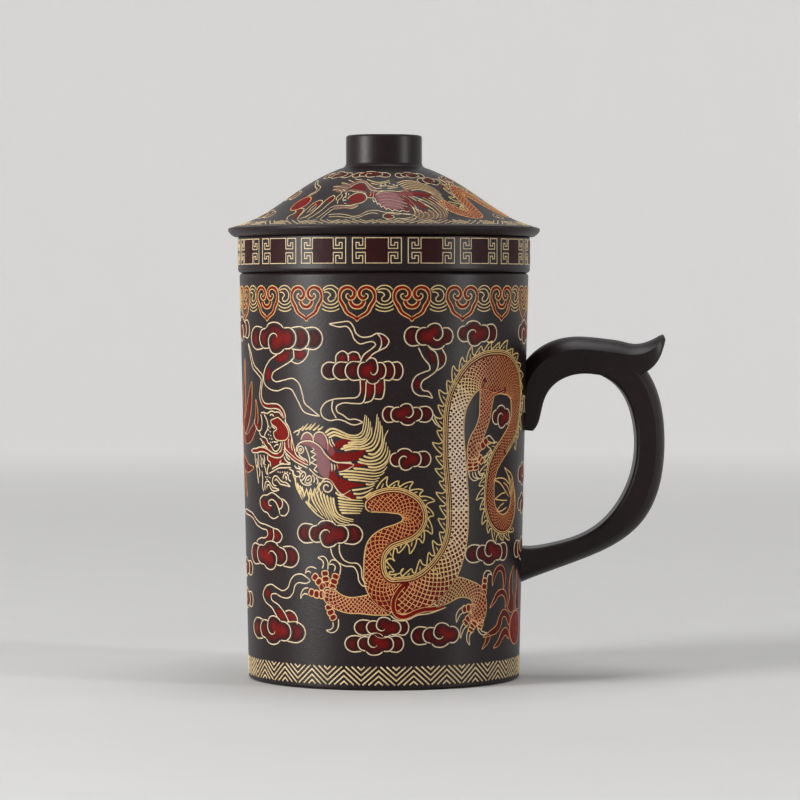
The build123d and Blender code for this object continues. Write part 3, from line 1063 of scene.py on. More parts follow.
# Red under the net: start and end as shares of the body's length, and its strength
# The red is weaker where the body climbs, in part a painted highlight that greys the red there
BODY_REDS = [(0.0, 0.30, 0.62), (0.30, 0.40, 0.6), (0.40, 0.57, 0.42), (0.57, 1.0, 0.45)]
BODY_RED_EDGE = 0.95

# Each leg's middle line from the body to its paw, with its half width
LEGS = [
    [(1.5, 23.6, 3.2), (-3, 23.2, 2.8), (-6.5, 23, 2.2), (-9.6, 22.9, 2.1), (-12.6, 23.7, 2.1),
     (-14.9, 25.2, 2.2), (-15.8, 27, 1.9)],
    [(13.5, 25.6, 3.8), (17.5, 26.6, 3.4), (21, 27.3, 2.8), (24.5, 26.8, 2.3), (27.8, 25.2, 2.4),
     (29, 22.3, 2.7), (28.4, 19.4, 2.8), (27.8, 17.6, 2)],
    [(31, 82, 3.2), (30.6, 79, 2.7), (30.2, 76.2, 2.3), (29.7, 72.8, 2), (28.2, 69.4, 1.9),
     (26.4, 66.4, 2.1), (25.8, 63.4, 2.1), (25.8, 61.6, 1.6)],
]
LEG_TONES = ([(0.0, 0.28), (1.0, 0.34)], [(0.0, 0.66), (0.5, 0.42), (1.0, 0.24)], [(0.0, 0.2), (1.0, 0.45)])
LEG_PITCHES = [(0.0, 1.15), (0.6, 1.2), (1.0, 1.5)]
LEG_WIDTHS = [(0.0, 0.85), (1.0, 0.95)]
LEG_WASH = (0.75, 0.9)
TOE_JOINTS = 3
TOE_CORNERS = 12
TOE_HALF = 1.15
TOE_TAPER = 0.1
TOE_SQUARENESS = 0.7
TOE_PEN = (0.38, 0.9)
TOE_WASH = (0.85, 0.95)
CLAW_PEN = (0.8, 0.9, 0.7)
TAIL_PEN = (0.4, 1.0, 0.8)

# Each toe from its root to its knuckle
TOES = [
    [(-16.8, 27.2), (-18.4, 28.9), (-20.2, 30.8)], [(-16, 27.6), (-16.4, 29.8), (-16.6, 32)],
    [(-14.7, 27.2), (-13.9, 29.2), (-13.2, 31.2)], [(-16.8, 25.6), (-19.2, 25.6), (-21.6, 26.2)],
    [(-15.6, 23), (-15, 21), (-13.9, 18.9)], [(30.4, 24.8), (30.7, 27.2), (31, 29.4)],
    [(27, 21.4), (24.8, 21.6), (22.8, 21.2)], [(26.4, 19.4), (24.8, 18.6), (23.6, 17.2)],
    [(27.4, 17.8), (26.4, 16.6), (25.6, 15.2)], [(29.6, 18.4), (29.4, 17), (28.9, 15.9)],
    [(27, 64.6), (29, 65.3), (30.8, 66.9)], [(26.8, 62.8), (28.2, 61.8), (29.4, 60.8)],
    [(26.2, 61.8), (26.6, 60.2), (27, 58.8)], [(25, 61.8), (24.8, 60.2), (25, 58.6)],
]

# Each claw as its outer and inner line, which meet at its point
CLAWS = [
    [(-19, 32.4), (-20.6, 32.9), (-22.1, 32.5), (-22.9, 30.9)],
    [(-20.8, 31.2), (-21.6, 31.7), (-22.3, 31.5), (-22.9, 30.9)],
    [(-15.7, 32.2), (-15.7, 34.4), (-16.8, 35.8), (-18.8, 35.5)],
    [(-17.5, 32.4), (-17, 33.6), (-17.2, 34.6), (-18.8, 35.5)],
    [(-12.3, 30.8), (-12, 33.2), (-13, 34.7), (-14.6, 34.9), (-15.4, 33.6)],
    [(-13.9, 31.8), (-13.5, 33.1), (-14.2, 33.8), (-15.4, 33.6)],
    [(-21.7, 27.2), (-23.1, 27), (-24.2, 25.8), (-24.5, 24)],
    [(-21.8, 25.3), (-23, 25.6), (-23.9, 25.1), (-24.5, 24)],
    [(-12.7, 19.3), (-12.8, 17), (-13.6, 15.8), (-15, 15.4), (-16.5, 16)],
    [(-14.4, 18.4), (-14.3, 17), (-15, 16.3), (-16.5, 16)],
    [(30.1, 28.8), (30.6, 30.7), (31.8, 31.4), (33.1, 31), (33.9, 29.9)],
    [(31.8, 29.2), (32.2, 30.2), (33, 30.4), (33.9, 29.9)],
    [(23.6, 22.2), (21.8, 21.4), (20.8, 19.8), (20.9, 17.8)],
    [(23.2, 20.4), (22.2, 20), (21.6, 19.2), (20.9, 17.8)],
    [(23.9, 18), (22.8, 17), (22.2, 15.4), (22.3, 13.4)],
    [(24.6, 16.8), (23.6, 16.2), (23, 15.2), (22.3, 13.4)],
    [(25.1, 16), (24.5, 14.6), (24.5, 12.8), (25.6, 11.4)],
    [(26.4, 15), (25.6, 14.4), (25.3, 13.2), (25.6, 11.4)],
    [(28.2, 16.4), (28.9, 15), (30.4, 14), (32.4, 14.4)],
    [(29.6, 16.2), (29.8, 15.2), (30.8, 14.8), (32.4, 14.4)],
    [(30.2, 67.4), (31.6, 67.9), (33, 67), (34.4, 65.8)],
    [(31.2, 66.4), (32.4, 66), (33.4, 65.8), (34.4, 65.8)],
    [(29, 61.8), (30.2, 62.4), (31.4, 63.4), (32.6, 64.4)],
    [(29.6, 60.4), (30.8, 61.2), (31.8, 62.6), (32.6, 64.4)],
    [(27.6, 58.8), (28, 57.6), (28.8, 57.2), (30, 58.2)],
    [(26.4, 58.4), (27.2, 56.8), (28.6, 56.4), (30, 58.2)],
    [(24.2, 58.8), (24.8, 56.8), (26.2, 55.9), (28, 56.4)],
    [(25.6, 58.4), (25.8, 57.2), (26.6, 56.6), (28, 56.4)],
]
TAIL_BLADES = [
    [(45.4, 49), (44.9, 53.4), (43.2, 56.8), (38.8, 59.1)],
    [(38.8, 59.1), (41.2, 56.4), (42.2, 54), (42.6, 50.6)],
    [(41.8, 54.4), (39.4, 55.8), (36.6, 56.3), (33.6, 55.9)],
    [(33.6, 55.9), (36.8, 54.9), (39, 53.2), (41.6, 51)], [(39.8, 52.2), (37.4, 51.9), (34.5, 50.6)],
    [(34.5, 50.6), (37.6, 50.2), (41, 50)], [(39.2, 49.4), (37.2, 48.7), (35.3, 47.2)],
    [(35.3, 47.2), (37.8, 47.3), (40.6, 48.2)], [(43.6, 52), (42.8, 54.6), (41.2, 57)],
    [(42.4, 51.6), (40.8, 53.8), (38.4, 55)], [(44.4, 51), (44, 54), (42.8, 56)],
]

# The red lines round the hip and the haunch, and how far the net keeps clear of them
HIP_LINE = [
    (5.4, 28.4), (3.8, 26.6), (2.6, 24.2), (2.6, 21.8), (3.5, 20.4), (5.1, 19.8), (6.8, 20.2), (8.8, 21.1),
    (11.2, 21.7), (14.2, 21.9), (17, 22.6),
]
HIP_MARGIN = 0.58
HIP_STROKE = 2.2
HIP_PEN = (0.36, 0.8)
HIP_EDGE_PEN = (0.8, 0.85)
HAUNCH_MARGIN = 0.36
HAUNCH_STROKE = 1.1
HAUNCH_PEN = (0.3, 0.7)
HAUNCH_WASH = (1.0, 0.9)
HIP_EDGE = [
    (1.6, 20.4), (3, 19.3), (4.9, 18.8), (6.9, 19.2), (9.1, 20.2), (12.4, 20.6), (15, 21.3), (17.6, 22.2),
]
HAUNCH_LINE = [
    (29.6, 82.6), (28.7, 80.8), (28.8, 78.8), (30.2, 77.6), (31.8, 77.8), (33, 78.9), (35, 79.4),
    (38.2, 80.2),
]
HAUNCH_RED = [(33.4, 78.6), (35.4, 79), (38.6, 80.2), (37, 80.6), (35.2, 80), (33.8, 79.4)]

# Flames that lick round the red pearl beside the hind leg, as closed tongues
FLAMES = [
    [(44.4, 17.4), (42, 19.8), (39.6, 20.2), (37.6, 18.4), (36.2, 16.2), (33.4, 14.9), (30.6, 13.4),
     (33.8, 13.6), (36.6, 14.2), (38.4, 15.6), (39.6, 18.2), (41.2, 18.2), (43.4, 15.8)],
    [(43.6, 13.6), (41.6, 15.2), (39.4, 14.6), (37.6, 12.4), (35.2, 10.2), (37.6, 10.6), (39.8, 12.4),
     (41.4, 13.2), (43.6, 12)],
    [(33.2, 21.2), (35.2, 22.4), (37, 24), (39.2, 24.3), (40.8, 22.8), (41, 20.8), (42, 22.4), (41.2, 24.8),
     (38.8, 25.9), (36.2, 25.2), (34.6, 23.2)],
    [(34.2, 27.2), (34.4, 30.2), (36.2, 32.2), (38.6, 32.4), (40.4, 30.6), (40.6, 27.8), (39.6, 25.8),
     (39.4, 28.4), (38.6, 30.6), (37, 31), (35.6, 29.8)],
    [(42.4, 20.6), (43.4, 23), (43.2, 26.4), (43.8, 29.2), (46, 31.8), (45.2, 28.6), (45.4, 25.4),
     (46.8, 22.4), (47, 20), (45.4, 19.2)],
    [(48.6, 20.2), (48.4, 23.4), (49.6, 26.8), (49, 30.6), (51.6, 27), (51.4, 23.4), (52.2, 20)],
    [(30.2, 10.2), (31.4, 12), (32.2, 14), (33.6, 13.6), (32.6, 11.6)],
]
FLAME_PEN = (0.1, 0.66)
FLAME_WASH = (0.46, 0.4)

# The pearl's place and radius
PEARL = (48.6, 14.8, 4.6)
PEARL_POINTS = 24
PEARL_PEN = (0.15, 0.85)
PEARL_WASH = (1.0, 0.9)

# Flames round the second pearl, at the left; the mirrored copy makes their other half
FLAMES_LEFT = [
    [(-59.4, 71), (-56.4, 74.6), (-54, 79), (-52.2, 83.4), (-50.8, 88.4), (-50.8, 82.6), (-51.6, 77),
     (-53.2, 72.4), (-55.8, 69.6)],
    [(-54.6, 70.5), (-51.4, 73.4), (-48.4, 77.6), (-45.2, 82.2), (-45.2, 77.6), (-46.8, 72.8),
     (-49.6, 69.4), (-52.6, 68)],
    [(-52.8, 67.6), (-49.6, 67.8), (-46.6, 69.4), (-43.2, 72), (-42.6, 77.4), (-41.4, 72.6), (-43.4, 68.6),
     (-47.4, 65.6), (-52.6, 65.6)],
    [(-56.4, 62), (-52.6, 61), (-49.4, 59.6), (-45, 58.8), (-49, 57.4), (-53, 57.6), (-56.6, 59.6)],
    [(-59.4, 60.6), (-57.4, 57.6), (-55.2, 54), (-51.6, 50.6), (-53, 54.6), (-54.2, 57.6), (-56.4, 61.4)],
]
PEARL_LEFT = (-60.95, 65.8, 4.6)
HALF_PEARL_POINTS = 13
HALF_PEARL_WASH = (1.0, 1.0)

# The dragon's head: the red nose, lip and whisker, the teeth, and the washes with their strengths
NOSE = [
    (-34.9, 71.9), (-33.8, 72.3), (-32.8, 72.6), (-31.8, 72.8), (-30.7, 72.2), (-29.5, 71.3), (-28.4, 70.2),
    (-27.9, 69), (-27.9, 67.9), (-28.6, 67), (-30, 66.6), (-31.6, 66.6), (-32.9, 66.9), (-33.6, 67.6),
    (-33.8, 68.8), (-33, 69.2), (-32.5, 69.5), (-32.5, 69.9), (-33, 70.3), (-33.8, 70.6), (-34.7, 71.1),
]
LIP = [
    (-45.6, 63.3), (-43.4, 63.5), (-41, 63.9), (-39, 63.9), (-37.4, 63.7), (-36, 63.2), (-34.6, 62.7),
    (-33, 62.5), (-31.6, 62.6), (-30.6, 63.4), (-30.1, 64.6), (-29.9, 66),
]
LIP_STROKE = (1.3, 1.0)
WHISKER = [
    (-39.4, 77.4), (-38.4, 76.2), (-36.4, 75.8), (-33.4, 75.8), (-31.6, 75.6), (-30.3, 74.7), (-29.5, 73.6),
    (-29.3, 72.4),
]
WHISKER_STROKE = (1.2, 0.9)
TEETH = [
    (-36, 70.3), (-35.3, 69.9), (-36.2, 69.3), (-35.2, 68.9), (-36, 68.1), (-35, 67.8), (-35.6, 67),
    (-34.6, 66.9), (-35.2, 66), (-34.3, 66.1), (-32.2, 58.1), (-31.3, 58), (-30.4, 58.1), (-29.5, 58.1),
    (-28.5, 58.1), (-27.6, 57.8), (-37.8, 56.5), (-36.8, 56.6), (-35.8, 56.4), (-37.2, 55.9),
]
# Strengths over 1 pale the red to mauve pink, partly the face's own colour and partly a painted highlight
# on the face and cheeks
HEAD_REDS = [
    ([(-29.2, 65.6), (-28.8, 67), (-28, 67.8), (-27.2, 67.8), (-26.6, 66.2), (-26.1, 64.4), (-25.2, 62.9),
      (-23.8, 61.9), (-22.2, 61.2), (-21.4, 60.3), (-23, 60.4), (-25.2, 61), (-27.2, 62.2),
      (-28.6, 63.8)], 1.12),
    ([(-36.4, 62.3), (-35, 61.9), (-33.4, 61.6), (-31.8, 61.7), (-30.4, 61.9), (-29.9, 61.5), (-31.2, 60.9),
      (-32.2, 60.4), (-33.4, 59.9), (-34.7, 59.1), (-34.9, 59.7), (-34.5, 60.5), (-35.4, 60.7),
      (-36.4, 61)], 1),
    ([(-30.2, 61.7), (-29, 60.3), (-30, 60.5)], 1),
    ([(-38.5, 66.3), (-37.4, 66.5), (-36.7, 66), (-37.2, 65.3), (-38.3, 65.3)], 0.8),
    ([(-36.5, 64.8), (-35.6, 65), (-34.8, 64.4), (-35.2, 63.8), (-36.2, 64.1)], 0.9),
    ([(-24.2, 66), (-22, 66.5), (-19.8, 66.3), (-17.8, 65.2), (-16.3, 63.3), (-14.9, 61.8), (-14.5, 60.2),
      (-14.7, 58.4), (-14.9, 57), (-16, 56.9), (-17.3, 57.5), (-18.2, 58.8), (-18.7, 60.4), (-18.9, 62),
      (-19.4, 63.8), (-20.4, 65), (-22.2, 65.6)], 1.9),
    ([(-15.7, 66.4), (-14.8, 65.8), (-13.9, 65.2), (-13.4, 64.2), (-13.6, 63), (-14.6, 62.9), (-15.5, 63.9),
      (-16, 65.2)], 1.45),
    ([(-14.3, 59.6), (-13.4, 58.6), (-13.6, 57.4), (-14.4, 56.7), (-14.7, 57.8)], 1.4),
    ([(-23.6, 66.9), (-22.9, 68.2), (-21.7, 68.8), (-20.5, 68.3), (-19.9, 67), (-21.6, 67.1)], 1.9),
    ([(-19.5, 67.1), (-18.9, 68.5), (-17.6, 68.9), (-16.4, 68.1), (-15.8, 66.6), (-15.7, 64.6),
      (-16.6, 64.9), (-18, 66.2)], 1.9),
    ([(-13.4, 66), (-12.4, 67), (-10.8, 67.4), (-8.6, 67.5), (-9.8, 66.4), (-11.4, 65.3), (-12.4, 64.6),
      (-13.3, 64.7)], 1),
    ([(-14.2, 64), (-13.4, 64.2), (-12, 63.8), (-9, 63.9), (-7, 64.2), (-5, 64.6), (-6.2, 62.8),
      (-7.4, 61.8), (-9.5, 61.5), (-11.5, 61.4), (-13.4, 61.5), (-14.9, 62.4)], 1),
    ([(-13, 60.7), (-9.8, 60.8), (-8, 60.9), (-4.4, 60.6), (-6.4, 60.1), (-8.4, 59.8), (-10, 59.3),
      (-12.4, 58.8)], 1),
    ([(-15.4, 57.4), (-14.4, 59.4), (-13.2, 58), (-11, 56.6), (-8.5, 55.8), (-5.2, 55.2), (-7.4, 54.6),
      (-9.4, 54), (-8.6, 52.8), (-7.4, 51.3), (-10, 51.9), (-12.4, 53.8), (-14, 55.2), (-15.2, 56.2)], 1),
    ([(-43.3, 71.2), (-42.4, 70.4), (-41.4, 69.9), (-40.4, 70), (-40, 71.2), (-41, 70.8), (-42, 71)], 1),
    ([(-33.4, 73.2), (-32.4, 73.7), (-31.2, 73.5), (-30.6, 72.8), (-31.8, 73.1)], 0.5),
]

# Pale lines of the head: the face, jaw, brow and ear, and the zigzags of the cheek and the beard
HEAD_LINES = [
    [(-29, 72.6), (-28.9, 71.6), (-28, 70.6), (-27.4, 69.3), (-27, 68.2), (-26.6, 66.8), (-26.2, 65.2),
     (-25.6, 63.8)],
    [(-39.8, 73.9), (-38.2, 74), (-36.6, 73.8), (-35.2, 74.3), (-34.2, 74.5), (-33.2, 74.2), (-32.2, 74.3),
     (-31, 74), (-30.2, 73)],
    [(-35.4, 73.2), (-34.4, 73.6), (-33.4, 73)],
    [(-29.9, 64.4), (-28.8, 63.2), (-27, 61.9), (-25, 60.8), (-23, 60), (-21.4, 59.4)],
    [(-29.6, 66), (-29.2, 64.6), (-27.4, 63.2), (-25.4, 61.9), (-23.2, 60.9), (-21.2, 60.2)],
    [(-27.7, 67.4), (-28, 66), (-27.6, 64.4)], [(-26.8, 67.4), (-27, 65.6), (-26.5, 63.8)],
    [(-26, 64.2), (-25.2, 62.8), (-23.8, 61.9), (-22.2, 61.2)],
    [(-25.2, 63.6), (-25.1, 65), (-24.2, 66), (-22.6, 66.6), (-20.8, 66.7), (-18.8, 66), (-17.3, 64.9),
     (-16.3, 63.5), (-15.3, 62.5), (-14, 61.6), (-12.6, 61.1), (-10.8, 61.1), (-8.6, 61.2)],
    [(-22.4, 65.4), (-21.6, 63.8), (-20.9, 61.8), (-20.8, 60)],
    [(-24.6, 63.2), (-23.4, 62.2), (-22, 61.6), (-21.3, 60.8)],
    [(-23.7, 66.8), (-23, 68.3), (-21.8, 69), (-20.5, 68.6), (-19.7, 67.3), (-19.6, 66.5)],
    [(-19.8, 67.2), (-19.1, 68.7), (-17.7, 69.2), (-16.4, 68.6), (-15.6, 67.2), (-15.3, 65.6),
     (-15.4, 64.2)],
    [(-15, 67.4), (-14.6, 65.9), (-13.8, 65)], [(-14.4, 67.6), (-13.9, 66.3), (-13.2, 65.4)],
    [(-26.2, 68.6), (-25.4, 69.2), (-24.2, 69.4), (-24.6, 68.4), (-25.2, 68.2)],
    [(-21.2, 59.4), (-19.6, 58), (-18.2, 57.1), (-16.8, 56.7), (-15.4, 56.7), (-14.2, 55.9), (-13.3, 54.5),
     (-12.3, 53.2), (-11, 52.2), (-8.8, 51.4)],
    [(-16.9, 55.7), (-15.7, 56), (-14.5, 55.4), (-14.2, 54.3), (-14.9, 53.3), (-16, 53.2), (-16.8, 54.1),
     (-16.4, 55), (-15.5, 55), (-15.3, 54.4)],
    [(-14.4, 61), (-14.2, 59.8), (-14.3, 58.4)], [(-13.6, 60.7), (-13.4, 59.9), (-13.5, 58.9)],
    [(-12.9, 60.8), (-12.6, 60), (-12.4, 59.2)],
    [(-13, 61), (-10.4, 61), (-8.1, 60.5), (-9.2, 59.7), (-10.6, 59), (-12.4, 58.5)],
    [(-9, 53.8), (-11, 52.6), (-12.8, 52.4)],
    [(-31.8, 63.2), (-33, 63), (-34.4, 63.2), (-36, 63.8), (-37.6, 64.3), (-39, 64.5), (-41, 64.5),
     (-43, 64.1), (-45, 63.9), (-46.3, 63.4), (-45.6, 62.9), (-44, 62.9), (-42, 63), (-40.4, 63.3),
     (-38.6, 63.3), (-37, 63), (-35.6, 62.4), (-34, 62), (-32.4, 61.9), (-31, 62.1), (-30, 62.8),
     (-29.6, 63.6), (-29.4, 65), (-29.4, 66.4)],
    [(-31.8, 63.2), (-30.9, 63.9), (-30.4, 65), (-30.2, 66.4)],
    [(-34, 63.9), (-33, 63.6), (-32, 64), (-31.2, 65), (-30.9, 66.2)],
    [(-33.8, 64.7), (-32.8, 65.4), (-31.6, 65.5)], [(-34, 66.3), (-33, 66.1), (-31.8, 66.3)],
    [(-34.8, 70.5), (-33.8, 70.1), (-33, 69.6)],
    [(-38.2, 73.6), (-37.2, 72.6), (-36.5, 71.4), (-36.3, 70.4), (-36.6, 69.5), (-37.3, 68.7), (-37.9, 68),
     (-38, 67.2)],
    [(-43.8, 72), (-43.4, 70.6), (-42.2, 69.4), (-41, 68.9), (-39.9, 69.3), (-39.4, 70.4), (-39.3, 71.8),
     (-39.9, 73.6)],
    [(-41, 68.8), (-40.2, 67.8), (-39.2, 67.4), (-38.2, 67.3), (-37, 66.8), (-36.4, 65.8), (-35.4, 65.4),
     (-34.5, 64.5), (-33.8, 63.6)],
    [(-40.8, 67), (-39.6, 66.4), (-38.8, 65.2)], [(-38.8, 66.2), (-37.6, 65), (-36.6, 64.2)],
    [(-39.8, 65), (-38.6, 64.8), (-37.4, 64.9)],
    [(-36.8, 62.6), (-36.7, 61.2), (-35.6, 60.6), (-35.3, 59.2)],
    [(-29.8, 62.4), (-29.2, 61.4), (-28.2, 60.8), (-27.2, 60.6)],
    [(-29.2, 63.2), (-28.4, 62), (-27.4, 61.3)],
    [(-30.6, 61.6), (-31.4, 60.6), (-30.4, 60.4), (-29.6, 60.6)],
    [(-43.9, 62.7), (-43.6, 60.5), (-42.8, 58.5), (-42.4, 56.4), (-41.8, 54.4)],
    [(-42.2, 62.8), (-41.5, 61), (-41.7, 59.4), (-41, 58.2), (-41.2, 56.2)],
    [(-40.7, 62.6), (-40, 61.4), (-40.3, 60.2), (-39.6, 59)],
    [(-38.7, 62.6), (-38.2, 61.2), (-38.6, 60.2), (-37.6, 59.6)],
    [(-39.9, 58.2), (-39.5, 56), (-39.7, 54), (-39, 52.4)],
    [(-38.8, 59.6), (-37.9, 58.8), (-37.5, 57.6), (-36.4, 57.3)],
    [(-42.9, 61.6), (-42.4, 60.2), (-42.6, 58.8)], [(-39.4, 61.8), (-39, 60.6), (-39.3, 59.6)],
    [(-38.3, 52.7), (-38.4, 54.2), (-37.5, 55.3), (-36.4, 55.3), (-35.4, 54.5), (-34.6, 53.8),
     (-33.4, 53.6), (-31.7, 53.3)],
    [(-37.5, 53.2), (-37.1, 54.3), (-36.2, 54.4), (-35.6, 53.5), (-34.6, 52.9), (-33.2, 52.9),
     (-31.7, 53.3)],
    [(-27.5, 54.2), (-29, 55.3), (-30.2, 55.4), (-31.2, 55.8), (-32.2, 56.6), (-33.3, 57), (-34.4, 56.4),
     (-34.7, 55.2), (-34, 54.4), (-32.8, 54.3)],
    [(-33.8, 55.4), (-33.1, 56.1), (-32.2, 55.5), (-31.2, 54.8), (-29.6, 54.6), (-27.5, 54.2)],
    [(-30.3, 56), (-30, 57.3), (-29, 57.8), (-28.3, 57.2), (-28.1, 56.2), (-27.2, 55.6)],
    [(-29.5, 56.2), (-29.2, 57), (-28.8, 56.4), (-29.2, 55.8)],
    [(-28, 59), (-26.8, 58.6), (-26, 57.4), (-25, 57), (-24, 57.4), (-24.4, 58.4), (-25.4, 58.4)],
    [(-24.3, 56.4), (-23.9, 57.7), (-22.9, 58.4), (-22.2, 57.8), (-22.7, 56.7), (-23.6, 56.1),
     (-24.3, 56.4)],
    [(-23.6, 56.8), (-22.9, 57.7)],
    [(-22.5, 55.4), (-22, 56.8), (-20.9, 57.4), (-20.4, 56.6), (-20.9, 55.5), (-22.5, 55.4)],
    [(-21.8, 55.9), (-21, 56.7)], [(-26, 60.2), (-25.4, 59.4), (-24.4, 59.2), (-23.4, 59.6)],
    [(-24.6, 60.2), (-24, 58.8), (-23, 58.4)], [(-24.2, 56.4), (-23.2, 55.2), (-21.6, 54.8), (-20.2, 55.2)],
    [(-20.2, 57.8), (-19.4, 56.6), (-19.8, 55.4)], [(-19, 57.2), (-18.4, 56), (-18.8, 55)],
    [(-27.2, 60.3), (-29, 60.3), (-31, 60.2), (-33, 59.5), (-35, 58.7)],
    [(-27, 59.4), (-29.6, 59.3), (-32, 59.1), (-34, 58.3), (-36.2, 57.5)],
]
HEAD_FRINGE = [
    (-20.4, 65.4), (-19.4, 64.4), (-20.4, 63.9), (-18.8, 63.2), (-20.3, 62.3), (-18.9, 61.7), (-20.5, 60.9),
    (-18.6, 60.2), (-19.6, 59), (-18.2, 58.2),
]
BEARD_FRINGE = [
    (-25.4, 53.4), (-24.8, 55), (-24.2, 52.4), (-23.4, 54.2), (-22.8, 51.8), (-22, 53.8), (-21.4, 52),
    (-20.7, 53.9), (-20.1, 52), (-19.4, 54), (-18.8, 52.2), (-18.1, 54.2), (-17.5, 52.4), (-16.9, 53.6),
]

# The eye's place, and the radius, points and line width of each of its rings
EYE = (-23.8, 64.3)
EYE_RINGS = ((1.0, 12, 0.86), (0.35, 6, 0.8))
EYE_TONE = 0.8
TOOTH = 0.4
TOOTH_PEN = (0.85, 0.95)
NOSE_PEN = (0.72, 0.8)
NOSE_WASH = (1.0, 0.95)
HEAD_RED_EDGE = 0.9
HEAD_PEN = (0.82, 0.9)
HEAD_FRINGE_PEN = (0.9, 0.86)
BEARD_FRINGE_PEN = (0.62, 1.0)
HAIR_PEN = (0.6, 1.5, 0.6)

# Pale gold strands, each from its root to its tip: the crest, hair, beard, neck and jaw
STRANDS = [
    [(-23.4, 69.3), (-22.4, 70.2), (-21.2, 71.5)], [(-22.2, 69.6), (-21, 70.4), (-20, 71.4)],
    [(-21, 69.6), (-19.9, 70.6), (-18.8, 71.7)], [(-19.8, 69.5), (-18.6, 70.3), (-17.6, 71.2)],
    [(-18.4, 69.6), (-17.4, 70.1), (-16.6, 70.8)], [(-24.4, 69.6), (-23.4, 70), (-22.6, 70.9)],
    [(-16.2, 68.8), (-14.6, 70), (-13.2, 70), (-11.4, 69.3), (-9.4, 68.5), (-7.4, 68.4), (-6, 69.2),
     (-5.4, 71.2), (-5, 74.1)],
    [(-15.8, 68.2), (-13.6, 69.2), (-11.2, 68.5), (-8.4, 67.8), (-6, 68.2), (-4.9, 70.4), (-4.6, 73.8)],
    [(-15.2, 67.6), (-13.4, 68.4), (-11.2, 67.8), (-8, 67.2), (-5.4, 67.6), (-4.3, 70), (-4.1, 73.2)],
    [(-9.8, 66.3), (-8, 66.6), (-5.4, 66.9), (-3.9, 69.2), (-3.6, 72.4)],
    [(-11.2, 65.4), (-8.6, 66), (-5.6, 66.2), (-3.5, 68.2), (-3.2, 70.8)],
    [(-11.8, 64.6), (-9, 65.4), (-6, 65.4), (-3.3, 66.8), (-2.2, 70.2), (-1.8, 74.3)],
    [(-10.8, 64.3), (-8.4, 64.8), (-5.8, 64.8), (-3, 65.8), (-1.7, 69), (-1.5, 73.4)],
    [(-5, 64.2), (-3, 64.6), (-1.6, 66.4), (-1, 69.2), (-1.1, 72.4)],
    [(-4.4, 63.5), (-2.6, 63.4), (-0.9, 65.2), (-0.4, 68), (-0.6, 71.2)],
    [(-5.6, 62.9), (-3.4, 62.4), (-1.2, 63.4), (-0.2, 65.6), (0.2, 68), (1.2, 70)],
    [(-6.8, 62.1), (-4, 61.5), (-1.2, 62.2), (0.2, 64.2), (0.6, 66.8)],
    [(-7.2, 61.4), (-4, 60.7), (-1, 61.2), (0.6, 63), (1.1, 65.6)],
    [(-4.4, 60), (-2, 59.9), (0.2, 61), (1.4, 63), (1.5, 64.6)],
    [(-8.4, 59.6), (-5.6, 59.4), (-2.4, 59.1), (-0.2, 59.9), (1.3, 61.8)],
    [(-11.2, 58.9), (-8.4, 58.8), (-5, 58.5), (-2.2, 58.3), (-0.2, 58.9), (0.9, 60.2)],
    [(-12.3, 58), (-9, 58), (-5.6, 57.7), (-2.6, 57.5), (-0.6, 58), (0.2, 58.8)],
    [(-11.2, 57.3), (-8, 57.2), (-5, 56.9), (-2.6, 56.7), (-1, 57.2)],
    [(-9.8, 56.6), (-7, 56.4), (-4.4, 56.1), (-2.6, 56), (-1.4, 56.5)],
    [(-5, 55.4), (-3.6, 55.3), (-2.2, 55.7)], [(-8.8, 53.7), (-6.4, 54), (-4, 54.5), (-2.4, 55.2)],
    [(-8.4, 52.8), (-6.4, 52.8), (-4.4, 53.4), (-2.8, 54.4)],
    [(-7.6, 51.8), (-6, 51.8), (-4.6, 52.4), (-3.4, 53.4)], [(-12.8, 51.7), (-9.6, 51.2), (-5.6, 51)],
    [(-12.7, 50.8), (-9.4, 50.4), (-5.3, 50.2)], [(-12.6, 50), (-9.2, 49.7), (-5.2, 49.5)],
    [(-12.5, 49.2), (-9, 49), (-5.6, 48.8)], [(-12.3, 48.4), (-9, 48.3), (-5.8, 48.2)],
    [(-11.8, 47.6), (-9, 47.6), (-6.2, 47.6)], [(-25.8, 57), (-25.4, 54.4), (-24.2, 52.2), (-23.3, 50.7)],
    [(-25.2, 55.4), (-24.4, 53.6), (-22.9, 51.2)], [(-24.4, 54.8), (-23.2, 53), (-22.2, 51.8)],
    [(-21.8, 53), (-21.2, 51.6), (-21.4, 50.2), (-20.4, 49.2), (-18.6, 47.6)],
    [(-20.8, 53), (-20.2, 51), (-18.8, 48.8), (-16.9, 46.5)],
    [(-19.9, 53.2), (-19.1, 50.8), (-17.4, 48.2), (-15.8, 45.9)],
    [(-18.9, 53.1), (-17.9, 50.4), (-16.3, 47.8), (-14.9, 45.2)],
    [(-17.8, 53), (-16.9, 50.2), (-15.4, 47.4), (-13.9, 44.9)],
    [(-16.8, 52.8), (-15.9, 49.8), (-14.6, 47.2), (-12.8, 45.1), (-10.4, 44.5)],
    [(-15.8, 52.4), (-15, 49.4), (-13.8, 47), (-11.8, 45.5), (-9.2, 44.9)],
    [(-14.8, 52), (-14.2, 49.2), (-13.2, 47), (-11, 45.9), (-8.2, 45.3)],
    [(-14, 51.8), (-13.5, 49.2), (-12.6, 47.4), (-10.8, 46.4), (-8, 45.8)],
    [(-22.4, 50.6), (-20.6, 48.6), (-18.4, 46.8), (-16.4, 45.7)],
    [(-16.4, 56.8), (-17.4, 55.4), (-18.4, 54)], [(-17.6, 55.8), (-18.4, 54.6), (-19, 53.4)],
    [(-13.4, 53.2), (-12.4, 52.4), (-10.8, 51.8)], [(-26.6, 58.8), (-26.4, 57.4), (-25.8, 56)],
    [(-36, 60.2), (-36.8, 58.8), (-37, 57.4)],
]


